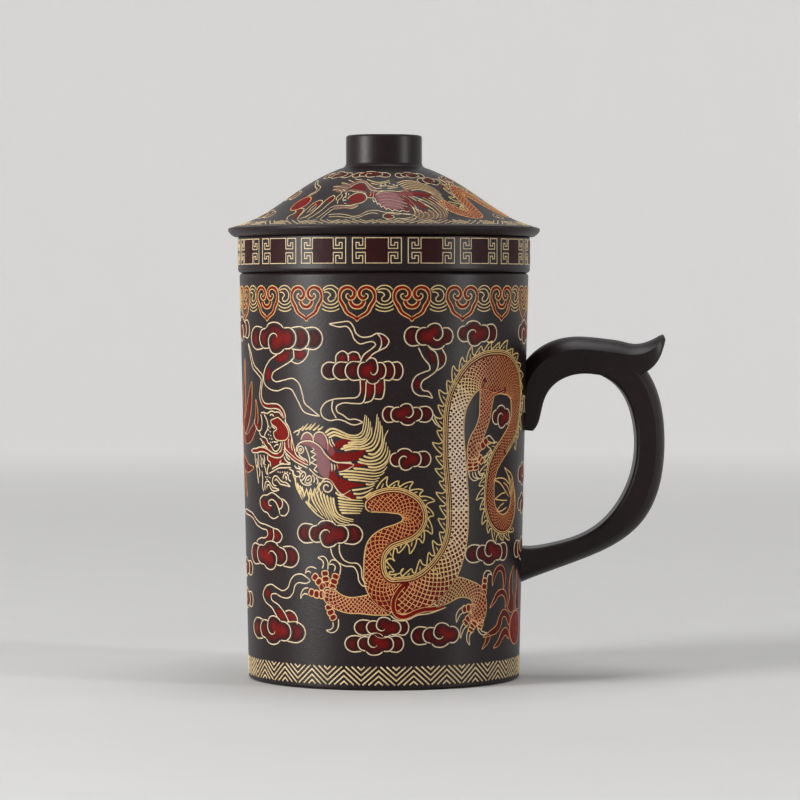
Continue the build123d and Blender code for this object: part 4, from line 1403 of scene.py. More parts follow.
def dash(across, up, length):
    """A short level line about a place."""
    return [(across - length / 2, up), (across + length / 2, up)]


def draw_head():
    """The dragon's head: red nose, jaws and mane, and the pale hair and beard."""
    drawing = Drawing()
    drawing.patch(NOSE, *NOSE_WASH)
    drawing.curve(NOSE, *NOSE_PEN, closed=True)
    drawing.stroke(LIP, *LIP_STROKE)
    drawing.stroke(WHISKER, *WHISKER_STROKE)
    for points, strength in HEAD_REDS:
        drawing.patch(points, strength, HEAD_RED_EDGE)
    for place in TEETH:
        drawing.ruled(dash(*place, TOOTH), *TOOTH_PEN, blunt=True)
    for points in STRANDS:
        drawing.curve(points, *HAIR_PEN)
    for points in HEAD_LINES:
        drawing.curve(points, *HEAD_PEN)
    drawing.ruled(HEAD_FRINGE, *HEAD_FRINGE_PEN)
    drawing.ruled(BEARD_FRINGE, *BEARD_FRINGE_PEN)
    for radius, count, width in EYE_RINGS:
        drawing.curve(ring(*EYE, radius, count), EYE_TONE, width, closed=True)
    return drawing


# How finely a band's half width is worked out between its stations
WIDTH_STEP = 0.05


class Band:
    """A tapering band along a curve: gives points by their distance along it and from its middle."""

    def __init__(self, stations):
        self.middle = smooth([(x, y) for x, y, _ in stations])
        self.side = sideways(self.middle, False)
        self.lengths = [0.0]
        for a, b in zip(self.middle, self.middle[1:]):
            self.lengths.append(self.lengths[-1] + (b - a).length)
        self.length = self.lengths[-1]
        widths = smooth([(i, w) for i, (_, _, w) in enumerate(stations)], step=WIDTH_STEP)
        marks = [self.nearest(Vector((x, y))) for x, y, _ in stations]
        self.half = []
        for along in self.lengths:
            k = next((i for i in range(1, len(marks)) if marks[i] >= along), len(marks) - 1)
            run = marks[k] - marks[k - 1]
            share = k - 1 + ((along - marks[k - 1]) / run if run else 0.0)
            self.half.append(widths[round(share * (len(widths) - 1) / (len(stations) - 1))].y)

    def nearest(self, place):
        """The distance along the band at a station."""
        return min(zip(self.middle, self.lengths), key=lambda pair: (pair[0] - place).length)[1]

    def frame(self, along):
        """The middle point, the sideways direction and the half width at a distance along the band."""
        along = min(max(along, 0.0), self.length)
        last = len(self.lengths) - 1
        k = next((i for i in range(1, last + 1) if self.lengths[i] >= along), last)
        run = self.lengths[k] - self.lengths[k - 1]
        share = (along - self.lengths[k - 1]) / run if run else 0.0
        place = self.middle[k - 1].lerp(self.middle[k], share)
        side = self.side[k - 1].lerp(self.side[k], share).normalized()
        half = self.half[k - 1] + (self.half[k] - self.half[k - 1]) * share
        return place, side, half

    def at(self, along, across):
        """A point at a distance along the band and a distance to its left."""
        place, side, _ = self.frame(along)
        return place + side * across

    def edge(self, way, inset=0.0, start=0.0, end=None):
        """A line along the band's left or right edge."""
        end = self.length if end is None else end
        count = max(2, round((end - start) / CURVE_STEP))
        made = []
        for i in range(count + 1):
            place, side, half = self.frame(start + (end - start) * i / count)
            made.append(place + side * way * (half - inset))
        return made

    def outline(self, start=0.0, end=None):
        """Both edges of the band as one outline, with every second point left out."""
        return (self.edge(1, 0.0, start, end) + self.edge(-1, 0.0, start, end)[::-1])[::2]


def between(table, share):
    """A value read from a table of shares and values."""
    for (a, low), (b, high) in zip(table, table[1:]):
        if share <= b:
            return low + (high - low) * (share - a) / (b - a)
    return table[-1][1]


def net(drawing, band, pitches, insets, tones, widths, hidden=None):
    """A net of scales across a band: bowed zigzag rows that meet at their points, save where hidden."""
    along, row = 0.0, 0
    while along < band.length:
        share = along / band.length
        depth = between(pitches, share) / 2
        _, _, half = band.frame(along)
        low, high = -half + insets[1](along), half - insets[0](along)
        count = max(2, round((high - low) / depth))
        run, last = [], None
        for i in range(count + 1):
            here = band.at(along + depth * ((i + row) % 2), low + (high - low) * i / count)
            shown = not (hidden and hidden(here))
            if last and shown and last[1]:
                bow = along + depth * (0.5 + SCALE_BOW)
                run.append(band.at(bow, low + (high - low) * (i - 0.5) / count))
            if last and shown != last[1]:
                middle = here.lerp(last[0], 0.5)
                if not hidden(middle):
                    run.append(middle)
            if shown:
                run.append(here)
            if len(run) > 1 and (not shown or i == count):
                drawing.line(run, between(tones, share), between(widths, share))
            if not shown:
                run = []
            last = (here, shown)
        along += depth
        row += 1


def spine_starts(band, way, start, end):
    """Places along a band that are evenly spaced on a line outside its edge."""
    made, run = [start], 0.0
    for a, b in zip(band.lengths, band.lengths[1:]):
        if start < a and b < end:
            ends = [band.at(along, way * (band.frame(along)[2] + SPINE_LENGTH / 2)) for along in (a, b)]
            run += (ends[1] - ends[0]).length
            if run >= SPINE_PITCH:
                made.append(b)
                run = 0.0
    return made


def spines(drawing, band, way, start, end):
    """A fin along one edge: ribbed spines that curve towards the tail, with round hollows between them."""
    starts = spine_starts(band, way, start, end)
    last = len(starts) - 2

    def side_of(i, shape):
        """Points of one spine from shares of its gap, of its length and of its length towards the tail."""
        made = []
        length = SPINE_LENGTH * SPINE_LENGTH_SHARES[i % len(SPINE_LENGTH_SHARES)]
        for share, height, lean in shape:
            place, side, half = band.frame(starts[i] + share * (starts[i + 1] - starts[i]))
            tailward = Vector((side.y, -side.x))
            made.append(tuple(place + side * way * (half + height * length) + tailward * lean * length))
        return made

    for i in range(-1, last + 1):
        back = side_of(i, SPINE_BACK_SHARES) if i >= 0 else []
        front = side_of(i + 1, SPINE_FRONT_SHARES) if i < last else []
        drawing.curve(back + front, *SPINE_PEN)
        if i >= 0:
            drawing.ruled(side_of(i, SPINE_RIB_SHARES), *SPINE_PEN)


def no_inset(along):
    """The inset of an edge without a ridge."""
    return 0.0


def flame(drawing, points):
    """A tongue of flame: an orange outline with red in it."""
    drawing.curve(points, *FLAME_PEN, closed=True)
    drawing.patch(points, *FLAME_WASH)


def pearl(drawing, across, up, radius):
    """A red pearl with an orange rim."""
    rim = ring(across, up, radius, PEARL_POINTS)
    drawing.curve(rim, *PEARL_PEN, closed=True)
    drawing.patch(rim, *PEARL_WASH)


def limb(drawing, stations, tones, hidden):
    """A scaled leg, its lines left out where it lies under the body."""
    leg = Band(stations)
    drawing.wash(leg.outline(), *LEG_WASH)
    net(drawing, leg, LEG_PITCHES, (no_inset, no_inset), tones, LEG_WIDTHS, hidden)
    for way in (1, -1):
        drawing.line([point for point in leg.edge(way) if not hidden(point)], *BODY_PEN)


def toe(drawing, points):
    """A toe of rounded scales in a row, each outlined and filled."""
    band = Band([(x, y, TOE_HALF - TOE_TAPER * i) for i, (x, y) in enumerate(points)])
    reach = band.length / TOE_JOINTS / 2
    for k in range(TOE_JOINTS):
        middle = (2 * k + 1) * reach
        _, _, half = band.frame(middle)
        scale = []
        for i in range(TOE_CORNERS):
            turn = 2 * math.pi * i / TOE_CORNERS
            shares = (math.cos(turn), math.sin(turn))
            along, across = (math.copysign(abs(share) ** TOE_SQUARENESS, share) for share in shares)
            scale.append(tuple(band.at(middle + reach * along, half * across)))
        drawing.patch(scale, *TOE_WASH)
        drawing.curve(scale, *TOE_PEN, closed=True)


def beside(points, offset):
    """A smooth line through points, moved to its left."""
    path = smooth(points)
    return [place + side * offset for place, side in zip(path, sideways(path, False))]


def draw_dragon():
    """The dragon's body, legs, claws and tail, and the pearls with their flames."""
    drawing = Drawing()
    body = Band(DRAGON_BODY)
    turn = DORSAL_TURN_SHARE * body.length
    outline = body.outline()
    red_lines = ((HIP_LINE, HIP_MARGIN), (HAUNCH_LINE, HAUNCH_MARGIN))
    kept_clear = [(place, margin) for points, margin in red_lines for place in smooth(points)]

    def left_inset(along):
        return RIDGE_WIDTH if along < turn else 0.0

    def right_inset(along):
        return 0.0 if along < turn else TAIL_RIDGE_WIDTH

    def under_body(point):
        return within(point, outline)

    def under_hip(point):
        return any((point - place).length < margin for place, margin in kept_clear)

    for start, end, strength in BODY_REDS:
        drawing.wash(body.outline(start * body.length, end * body.length), strength, BODY_RED_EDGE)
    net(drawing, body, NET_PITCHES, (left_inset, right_inset), NET_TONES, NET_WIDTHS, under_hip)
    for way in (1, -1):
        drawing.line([point for point in body.edge(way) if not under_hip(point)], *BODY_PEN)
    drawing.curve(NECK_END, *NECK_PEN)
    for inset in RIDGE_INSETS:
        drawing.line(body.edge(1, inset, 0.0, turn), *RIDGE_PEN)
    drawing.line(body.edge(-1, TAIL_RIDGE_INSET, turn), *RIDGE_PEN)
    spines(drawing, body, 1, FIN_GAPS[0], turn - FIN_GAPS[1])
    spines(drawing, body, -1, turn + TAIL_FIN_GAPS[0], body.length - TAIL_FIN_GAPS[1])
    for stations, tones in zip(LEGS, LEG_TONES):
        limb(drawing, stations, tones, under_body)
    for points in TOES:
        toe(drawing, points)
    for points in CLAWS:
        drawing.curve(points, *CLAW_PEN)
    for points in TAIL_BLADES:
        drawing.curve(points, *TAIL_PEN)
    drawing.stroke(HIP_LINE, HIP_STROKE)
    drawing.curve(HIP_EDGE, *HIP_EDGE_PEN)
    drawing.stroke(HAUNCH_LINE, HAUNCH_STROKE)
    for way in (1, -1):
        drawing.line(beside(HIP_LINE, way * HIP_MARGIN), *HIP_PEN)
        drawing.line(beside(HAUNCH_LINE, way * HAUNCH_MARGIN), *HAUNCH_PEN)
    drawing.patch(HAUNCH_RED, *HAUNCH_WASH)
    for points in FLAMES + FLAMES_LEFT:
        flame(drawing, points)
    pearl(drawing, *PEARL)
    half = arc(*PEARL_LEFT, -90, 90, HALF_PEARL_POINTS)
    drawing.curve(half, *PEARL_PEN)
    drawing.wash(smooth(half, step=PATCH_STEP), *HALF_PEARL_WASH)
    return drawing


# Lid


# Places on the lid are an angle in degrees from the front, to the right, and a radius
# Strengths between 1 and 2 pale the red towards mauve pink, partly a painted highlight on the face; those
# between 2 and 3 turn it towards straw under the hair
LID_REDS = [
    ([(-20, 27.7), (-18, 26.5), (-15.5, 25.9), (-13, 26.1), (-11, 26.9), (-10.4, 28), (-12, 29.1),
      (-14.5, 29.6), (-16.5, 30), (-18.8, 30.2), (-19.2, 29.3), (-17.4, 28.7), (-19.2, 28.2)], 1),
    ([(-22.4, 23.6), (-20, 22.5), (-17, 21.9), (-14.5, 22.1), (-12.8, 23), (-11.2, 24), (-11.4, 25.2),
      (-13, 24.7), (-15, 24.3), (-17, 24.5), (-19, 23.8), (-21, 24.2)], 1),
    ([(-9.6, 26.2), (-8.6, 25.4), (-6, 25.1), (-4.8, 26), (-6.5, 27.2), (-8.8, 27.2)], 1),
    ([(-5, 26.6), (-3, 25.6), (1, 25.3), (5, 25.4), (8, 26), (9.6, 27.4), (10.4, 29), (9.8, 30.6),
      (8.4, 32), (6, 32.6), (3, 32.2), (0.6, 31.6), (-1.6, 30.4), (-3.6, 28.8)], 1.8),
    ([(10.2, 27.6), (13, 27.4), (15.6, 28.6), (16.4, 30.4), (14.4, 31.6), (12, 30.8), (11, 29.2)], 0.9),
    ([(8.8, 32.2), (10.2, 31), (11.8, 32), (11, 33.2), (8.8, 33)], 0.9),
    ([(7, 26.2), (11, 25), (15, 24.8), (18.4, 25.5), (17, 27), (13, 27.4), (10, 27.2)], 1.35),
    ([(12, 23.6), (14, 21.5), (18, 20.5), (22, 20.3), (26, 20.7), (30, 21.7), (34, 22.8), (36.2, 24.4),
      (37.4, 26.2), (35, 26.4), (33, 25.7), (30, 25.1), (26, 24.6), (21, 24.4), (16, 24.6),
      (13, 24.7)], 2.8),
    ([(29, 26.5), (31.6, 25.6), (34.2, 26.4), (33, 28.6), (31.6, 31), (30, 34), (28, 36.4), (25, 38),
      (22.6, 38), (24.6, 35.6), (25.8, 33), (25.4, 31), (23.6, 29.6), (26, 29.5), (29.2, 30.4),
      (29.6, 28.6)], 2.8),
    ([(13.6, 34), (16, 33.2), (18, 34.2), (20.6, 33.4), (22.4, 32.6), (24.4, 33.8), (23.4, 36),
      (20.8, 37.6), (18, 38.4), (15, 38.4), (14, 37.2), (13.4, 35.6)], 2.8),
    ([(-34.4, 23.6), (-30, 21.9), (-26, 21.8), (-22, 20.8), (-18, 20.2), (-14, 20.6), (-11, 22), (-8, 23.6),
      (-4, 24.3), (-8, 24.9), (-11, 23.5), (-14, 21.7), (-18, 21.4), (-22, 22.8), (-25, 24.4), (-29, 25.4),
      (-32.4, 24.6)], 2.6),
    ([(-29, 25), (-24, 25.3), (-20, 24.9), (-16, 25.2), (-12, 25.9), (-10.4, 25.9), (-11.2, 25.3),
      (-14, 24.7), (-17, 24.4), (-20, 24.1), (-24, 24.4)], 2.8),
    ([(-25.4, 31.4), (-20, 30.9), (-16, 30.6), (-13.4, 29.8), (-12.8, 30.6), (-15.4, 31.8), (-20, 32),
      (-24.4, 32.5)], 2.7),
    ([(15.6, 26.2), (19, 25.1), (23, 25.3), (27, 25.8), (29.4, 26.4), (26.5, 26.9), (24, 27.1), (21, 26.7),
      (18, 26.8)], 1),
    ([(21.6, 27), (25, 27.4), (28.4, 29.2), (26, 29), (23.6, 28.2)], 1),
    ([(14.4, 27.8), (17, 29.2), (19, 28.8), (20, 30.2), (22.4, 31.6), (20, 31.6), (19.6, 33.8), (18, 33),
      (18.2, 31.2), (16.4, 29.8)], 1),
    ([(10.6, 30.8), (12.2, 32.2), (13.4, 34), (11.8, 33.2)], 0.9),
    ([(-22, 16.6), (-19, 15.8), (-15, 15.9), (-13, 16.8), (-17, 17.2)], 0.9),
    ([(-12, 15.9), (-9, 15.4), (-6, 16), (-9, 16.4)], 0.9),
    ([(-8, 17.3), (-4.6, 16.7), (-2, 17.2), (-5, 17.7)], 0.9),
    ([(18.6, 17.2), (21, 16.5), (24.4, 17), (22, 17.8)], 0.9),
    ([(35, 20.4), (38.4, 19.8), (40.6, 21), (37.4, 21.6)], 0.9),
    ([(-40.2, 30.6), (-39.4, 29.2), (-37.4, 28.7), (-35.6, 29.4), (-36, 31.4), (-37.6, 30),
      (-39.2, 31)], 0.9),
    ([(-33.4, 28.8), (-31.4, 27), (-29.4, 27.8), (-30.6, 29.8), (-31.6, 28.6)], 0.9),
    ([(-45.4, 32.4), (-42.8, 32.6), (-41, 35.4), (-40, 37.2), (-43, 35.6)], 0.85),
    ([(0.4, 35.4), (1.4, 37), (3, 36.8), (3.2, 35.4), (1.8, 34.9)], 0.95),
    ([(41.6, 22.2), (44, 22), (46.6, 22.8), (46.4, 23.8), (43.6, 23.6)], 0.9),
    ([(34, 20), (37, 20.2), (39.6, 21.6), (36, 21.4)], 0.9),
]
LID_LINES = [
    [(-52, 26.8), (-50.8, 25.6), (-49, 24.7), (-50.6, 23.6), (-54, 23), (-58, 22.2), (-64, 20.9),
     (-71, 19.4)],
    [(-50.6, 26.6), (-49.4, 26), (-47.4, 24.9), (-49.2, 22.8), (-53, 22.2), (-58, 21.4), (-64, 20.1),
     (-71, 19.4)],
    [(-46.4, 31.6), (-42.8, 31.8), (-40.6, 34.8), (-38.4, 37.6)],
    [(-48, 32.4), (-45.6, 33.4), (-46.6, 35.6), (-43.8, 37.8)],
    [(-39.2, 37), (-40.8, 33), (-40.4, 29.6), (-37.6, 28.3), (-34.8, 29), (-34.8, 32), (-35.4, 35),
     (-37.6, 37.4)],
    [(-37.8, 34), (-38.6, 31.4), (-37.6, 29.8), (-36.4, 31), (-36.8, 33.6)],
    [(-35.6, 36.8), (-34.2, 31), (-33.6, 28.2), (-31, 26.5), (-28.8, 27.6), (-30, 30), (-31.6, 33.8),
     (-33.4, 37.4)],
    [(-29.4, 37.2), (-28.2, 33.6), (-27, 31.4), (-24, 30.6), (-19, 30.8), (-15.6, 31), (-14, 29.9)],
    [(-27.2, 37.6), (-26.4, 34), (-25, 32.2), (-20, 31.7), (-15, 31.8), (-12.8, 30.4)],
    [(-25.4, 35), (-21, 34.6), (-17, 35), (-13.5, 36), (-11, 35.6), (-9, 34), (-6.5, 33), (-3, 33),
     (0.4, 33.8), (4, 34), (8, 34.6), (12, 35.2)],
    [(-24.4, 36.3), (-20, 36), (-16, 36.6), (-12.5, 37.1), (-10.2, 36.4), (-8, 34.9), (-5.5, 34.1),
     (-2.4, 34.6)],
    [(5.4, 34.9), (3, 34.3), (0.2, 34.8), (-0.4, 36.4), (1.2, 37.7), (3.8, 37.2), (4.2, 35.8), (2.6, 35.4)],
    [(4.2, 37.2), (8, 37.4), (12, 36.4)],
    [(-20.4, 28.2), (-20.2, 27.2), (-18.2, 26), (-15.4, 25.5), (-12.6, 25.7), (-10.4, 26.6), (-9.6, 28),
     (-11.4, 29.4), (-14.6, 30), (-17.4, 30.6), (-20, 30.6)],
    [(-23, 24.5), (-20.6, 24.8), (-17.6, 25.2), (-14.8, 25), (-12.4, 25.6), (-10.6, 26.2)],
    [(-23.6, 23.6), (-20.6, 21.9), (-17.2, 21.2), (-13.8, 21.5), (-11.8, 22.4), (-9.8, 23.6), (-8, 24.6),
     (-4, 24.9), (0, 24.7)],
    [(-21, 20.9), (-17, 20.4), (-13.4, 20.8), (-11, 21.8), (-8.6, 22.8), (-5, 23.8), (-1, 23.6)],
    [(-9.8, 27.2), (-8, 27.6), (-5.6, 27.6), (-4.4, 28.6)], [(-8.2, 25), (-7.8, 26.1), (-8.4, 27.2)],
    [(-6.4, 25), (-6, 26.2), (-6.4, 27.4)],
    [(-5, 26.6), (-2.8, 25.3), (3, 24.8), (9.2, 25), (12.4, 24.8), (16, 25.2)],
    [(8.6, 26), (11.4, 26.8), (13.6, 28.2), (14.6, 29.8)], [(13.6, 28.6), (15.4, 30.2), (16, 32)],
    [(12.6, 29.8), (14.2, 31.6), (14.6, 33.6)], [(15, 26.8), (18.6, 27.4), (21, 28.8)],
    [(18.4, 28.4), (20.8, 29.6), (23.6, 31.2)],
    [(5, 35.2), (8, 34.6), (11.4, 34.8), (13.6, 35.8), (13.2, 37.2), (10, 37.9), (6, 37.6)],
    [(13.4, 26.8), (16, 27.6), (18, 28.8)], [(13, 30.8), (15, 31.8), (17, 33)],
    [(-24, 25.4), (-22.6, 26.6), (-23.4, 27.8), (-22, 29)],
    [(-26, 25.8), (-24.8, 27.2), (-25.8, 28.6), (-24.6, 30)],
    [(-28, 24.6), (-26.8, 25.8), (-27.8, 27.2), (-26.8, 28.6)], [(-22, 25.6), (-20.8, 26.6)],
    [(-21.6, 29.6), (-19.4, 30)],
]
LID_TEETH = [
    (-29, 24.6), (-27, 24.2), (-25.4, 24.6), (-23.6, 25.6), (-22.4, 27.2), (-21.6, 28.4), (-2, 22.4),
    (1, 22), (4, 21.6), (6.8, 22.2), (9, 22.6),
]
# Pale lines across the lid dragon's face, partly its own lines and partly a painted highlight on the face
LID_FACE_LINES_AND_SHEEN = [
    [(-4.6, 26.4), (0, 25.6), (5, 25.8), (9, 26.6), (12, 27.6)],
    [(-3.8, 27.4), (0, 26.9), (4.6, 27), (8.6, 27.8), (12.6, 28.8)],
    [(-3, 28.6), (0.6, 28.3), (4.6, 28.4), (8.6, 29.2), (12.8, 30.2)],
    [(-2, 29.6), (1.2, 29.4), (4.8, 29.8), (8.4, 30.6), (12, 31.4)],
    [(-0.6, 30.8), (2, 30.6), (5.2, 31), (8.2, 31.8), (11, 32.4)],
]
LID_FRINGE = [
    (-6.5, 27.9), (-5.2, 29.2), (-4.4, 28.7), (-3.2, 30.3), (-2.4, 29.7), (-1.2, 31.4), (-0.4, 30.9),
    (1.2, 32.4), (2, 31.9), (4, 33.2), (5, 32.5), (7.4, 33.6), (8.4, 32.8), (11, 33.6), (12.4, 32.8),
]
LID_STRANDS = [
    [(9, 21.6), (16, 20.3), (22, 20.4), (28, 21.4), (34, 23.2), (37, 25.2)],
    [(10, 22.3), (17, 21), (24, 21.4), (30, 22.8), (34.4, 24.6), (36.4, 26.6)],
    [(11, 23), (18, 21.8), (25, 22.3), (31, 24), (34.6, 26), (35.6, 28)],
    [(12, 23.6), (20, 22.6), (26.4, 23.3), (31.6, 25.2), (34.2, 27.4), (34.4, 29.6)],
    [(13, 24.2), (21, 23.4), (27.6, 24.3), (31.8, 26.4), (33.4, 28.8), (33.2, 31.2)],
    [(17, 24.6), (23, 24.2), (28.6, 25.2), (31.8, 27.6), (32.6, 30.4), (31.8, 33)],
    [(27.6, 26.6), (30.4, 28.6), (31.4, 31.4), (30.4, 34.4)],
    [(25.8, 27.4), (29.2, 29.6), (30, 32.6), (28.6, 35.6)],
    [(22, 27.2), (27.2, 30), (28.4, 33.4), (26.4, 36.6)],
    [(20, 27.8), (25, 30.2), (26.6, 33.8), (24, 37.2)], [(21, 30), (24, 32), (24.6, 34.8), (21.4, 37.8)],
    [(21.4, 32.2), (22.4, 34), (21.8, 36), (18.8, 38)],
    [(18.6, 33.4), (20, 34.8), (18.8, 36.8), (16, 38.2)],
    [(17, 32.6), (17.8, 34.6), (16.4, 36.6), (13.8, 38)],
    [(15.4, 31.6), (16, 34), (14.8, 36), (12.4, 37.4)],
    [(13.8, 30.8), (14.4, 33.2), (13.6, 35), (11.8, 36.4)],
    [(-37.4, 23), (-33, 22.7), (-29, 23.2), (-23.4, 23.8)],
    [(-35.4, 24.2), (-31, 24.2), (-28, 24.6), (-24.4, 25)], [(-33.4, 21.2), (-28, 21.6), (-22.6, 22.8)],
    [(-29.4, 19.8), (-25, 20.6), (-21, 21.4)], [(-24.6, 19.2), (-21, 19.8), (-17, 19.6)],
    [(-14, 19.6), (-9, 20.6), (-4, 21.2), (1, 20.7), (5, 20)],
    [(-10, 21.4), (-5, 22), (0, 21.4), (5, 20.8)], [(-4, 22.9), (1, 22.7), (6, 22.9), (10, 22.2)],
    [(2, 23.8), (6, 23.6), (10, 23.2)],
]
LID_BODY = [
    (31.6, 28.6, 1.5), (34.6, 31.2, 1.9), (38.6, 33.6, 2), (43, 34.7, 2), (47.2, 33.6, 2), (49.4, 30.4, 2),
    (50.8, 27, 2), (54, 24.6, 2), (59, 24.2, 2), (63.6, 26, 2), (67.4, 29, 2), (71.6, 32, 2),
    (77, 33.6, 1.9), (82.4, 32.6, 1.7), (85.4, 29.8, 1.4), (85.6, 26.6, 1), (83.4, 24.2, 0.6),
]
LID_TAIL = [
    [(84.6, 25.4), (81.6, 23.6), (78, 23.2), (74.4, 24)], [(84, 25), (80.4, 24.6), (77, 25.4), (75, 26.8)],
    [(84.2, 24.6), (82, 22), (79, 20.6), (75.6, 20.4)],
    [(84.8, 24.4), (85, 21.6), (83.4, 19.4), (80.4, 18.2)],
]
LID_CLOUDS = [
    ((-48.0, 16.9), 3.4, 1.9, 1, 1, (1.8,), (1.8,)),
    ((-12.0, 16.9), 3.2, 1.7, 1, 1, (2.0,), (2.2,)),
    ((24.0, 17.3), 2.6, 1.6, 1, 1, (1.7,), (1.6,)),
    ((39.6, 20.2), 2.8, 1.8, -1, -1, (1.8,), (2.2,)),
    ((-78.0, 25.6), 3.6, 2.2, 1, 1, (2.4,), (2.4,)),
    ((-72.0, 34.0), 3.4, 2.2, -1, 1, (2.4,), (2.4,)),
    ((66.0, 19.0), 2.6, 1.6, 1, 1, (1.6,), ()),
    ((62.0, 35.2), 2.0, 1.4, 1, 1, (), ()),
]
LID_PEARL = (-49.6, 29.6)
LID_PEARL_RADIUS = 2.8
LID_TOOTH = 1.0
LID_TOOTH_PEN = (0.9, 0.95)
LID_RED_EDGE = 0.8
LID_PEN = (0.7, 0.62)
LID_FACE_PEN = (0.85, 0.55, 0.4)
LID_FRINGE_PEN = (0.8, 0.62)
LID_STRAND_PEN = (0.58, 0.85, 0.5)
LID_BODY_PEN = (0.3, 0.8)
LID_BODY_WASH = (0.6, 0.9)
LID_FIN_GAPS = (1.0, 8.0)
LID_NET_PITCHES = [(0.0, 1.15), (1.0, 1.15)]
LID_NET_TONES = [(0.0, 0.06), (1.0, 0.12)]
LID_NET_WIDTHS = [(0.0, 0.75), (1.0, 0.75)]


def plan(points):
    """Places on the lid, seen from above."""
    turns = [(math.radians(angle), radius) for angle, radius in points]
    return [(radius * math.sin(turn), -radius * math.cos(turn)) for turn, radius in turns]


def draw_lid():
    """The lid's dragon, pearl and clouds."""
    drawing = Drawing()
    body = Band([(*plan([(angle, radius)])[0], half) for angle, radius, half in LID_BODY])
    drawing.wash(body.outline(), *LID_BODY_WASH)
    net(drawing, body, LID_NET_PITCHES, (no_inset, no_inset), LID_NET_TONES, LID_NET_WIDTHS)
    for way in (1, -1):
        drawing.line(body.edge(way), *LID_BODY_PEN)
    spines(drawing, body, 1, LID_FIN_GAPS[0], body.length - LID_FIN_GAPS[1])
    for points, strength in LID_REDS:
        drawing.patch(plan(points), strength, LID_RED_EDGE)
    for points in LID_STRANDS + LID_TAIL:
        drawing.curve(plan(points), *LID_STRAND_PEN)
    # The face's pale lines, partly a painted highlight
    for points in LID_FACE_LINES_AND_SHEEN:
        drawing.curve(plan(points), *LID_FACE_PEN)
    for points in LID_LINES:
        drawing.curve(plan(points), *LID_PEN)
    for place in LID_TEETH:
        drawing.ruled(plan(dash(*place, LID_TOOTH)), *LID_TOOTH_PEN, blunt=True)
    drawing.ruled(plan(LID_FRINGE), *LID_FRINGE_PEN)
    for place, *facts in LID_CLOUDS:
        cloud(drawing, plan([place])[0], *facts, turn=math.radians(place[0]), pen=LID_CLOUD_PEN)
    pearl(drawing, *plan([LID_PEARL])[0], LID_PEARL_RADIUS)
    return drawing


def draw_lid_chevrons():
    """The chevrons round the lid's brim, all of them at once."""
    drawing = Drawing()
    half = 180.0 / LID_CHEVRON_COUNT
    ends = (0.0, LID_BAND_OUTER - LID_BAND_INNER)
    for i in range(LID_CHEVRON_COUNT):
        def shape(points, turn=2 * half * i):
            return plan([(turn + angle, LID_BAND_OUTER - up) for angle, up in points])

        chevrons(drawing, half, *ends, LID_BAND_RISE, LID_BAND_FIRST_PEAK, shape, LID_CHEVRON_PEN)
    return drawing


# Operators


class TEAMUG_OT_clay(bpy.types.Operator):
    """Gives every clay member its burnished finish"""

    bl_idname = "teamug.clay"
    bl_label = "Clay"

    def execute(self, context):
        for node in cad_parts.values():
            node.data.materials.clear()
            node.data.materials.append(burnished_clay())
        return {"FINISHED"}


class TEAMUG_OT_bands(bpy.types.Operator):
    """Draws the collar's fret, the ruyi heads below the rim and the chevrons above the foot"""

    bl_idname = "teamug.bands"
    bl_label = "Ornament bands"

    def execute(self, context):
        collar_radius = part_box("infuser_basket")[1].x / MM
        collar = Wall("infuser_basket", collar_radius)
        wall = Wall("mug_body", DRAWING_RADIUS)
        frets = around(BAND_COUNT, FRET_TURN, collar_radius)
        heads = around(BAND_COUNT, RUYI_TURN, DRAWING_RADIUS)
        feet = around(CHEVRON_COUNT, CHEVRON_TURN, DRAWING_RADIUS)
        lay(draw_fret(), collar, frets, ("collar_fret", "collar_windows"), "infuser")
        lay(draw_ruyi(), wall, heads, ("ruyi_lines", "ruyi_reds"), "mug")
        lay(draw_foot_chevrons(), wall, feet, ("foot_chevrons", ""), "mug")
        return {"FINISHED"}


class TEAMUG_OT_clouds(bpy.types.Operator):
    """Draws the clouds and ribbons on the front and, mirrored, on the back"""

    bl_idname = "teamug.clouds"
    bl_label = "Clouds"

    def execute(self, context):
        wall = Wall("mug_body", DRAWING_RADIUS)
        lay(draw_clouds(), wall, front_and_back(), ("cloud_lines", "cloud_reds"), "mug")
        return {"FINISHED"}


class TEAMUG_OT_dragon(bpy.types.Operator):
    """Draws the dragon on the front and, mirrored, on the back"""

    bl_idname = "teamug.dragon"
    bl_label = "Dragon"

    def execute(self, context):
        wall = Wall("mug_body", DRAWING_RADIUS)
        lay(draw_dragon(), wall, front_and_back(), ("dragon_lines", "dragon_reds"), "mug")
        lay(draw_head(), wall, front_and_back(), ("head_lines", "head_reds"), "mug")
        return {"FINISHED"}


class TEAMUG_OT_lid(bpy.types.Operator):
    """Draws the lid's dragon and its chevron band"""

    bl_idname = "teamug.lid"
    bl_label = "Lid"

    def execute(self, context):
        dome = Dome("lid_dome")
        lay(draw_lid(), dome, [moved(), plan_mirror()], ("lid_lines", "lid_reds"), "lid")
        lay(draw_lid_chevrons(), dome, [moved()], ("lid_chevrons", ""), "lid")
        return {"FINISHED"}


# Stage


# The paper sweep, in metres: a round floor that curves up into a wall
SWEEP_RADIUS = 1.5
SWEEP_ROUND = 0.9
SWEEP_HEIGHT = 2.4
SWEEP_RINGS = 12
SWEEP_SIDES = 96

# The paper's colours and flecks, and the shine that it is seen with, which grows between two distances
PAPER_DARK = (0.66, 0.655, 0.65)
PAPER_LIGHT = (0.69, 0.685, 0.68)
PAPER_FLECKS = (30, 3)
PAPER_ROUGHNESS = 0.75
SHINE_STRETCH = (0.15, 1.5)
SHINE_LEVELS = (0.0, 0.45)
SHINE_COLOUR = (1.0, 0.99, 0.98, 1.0)

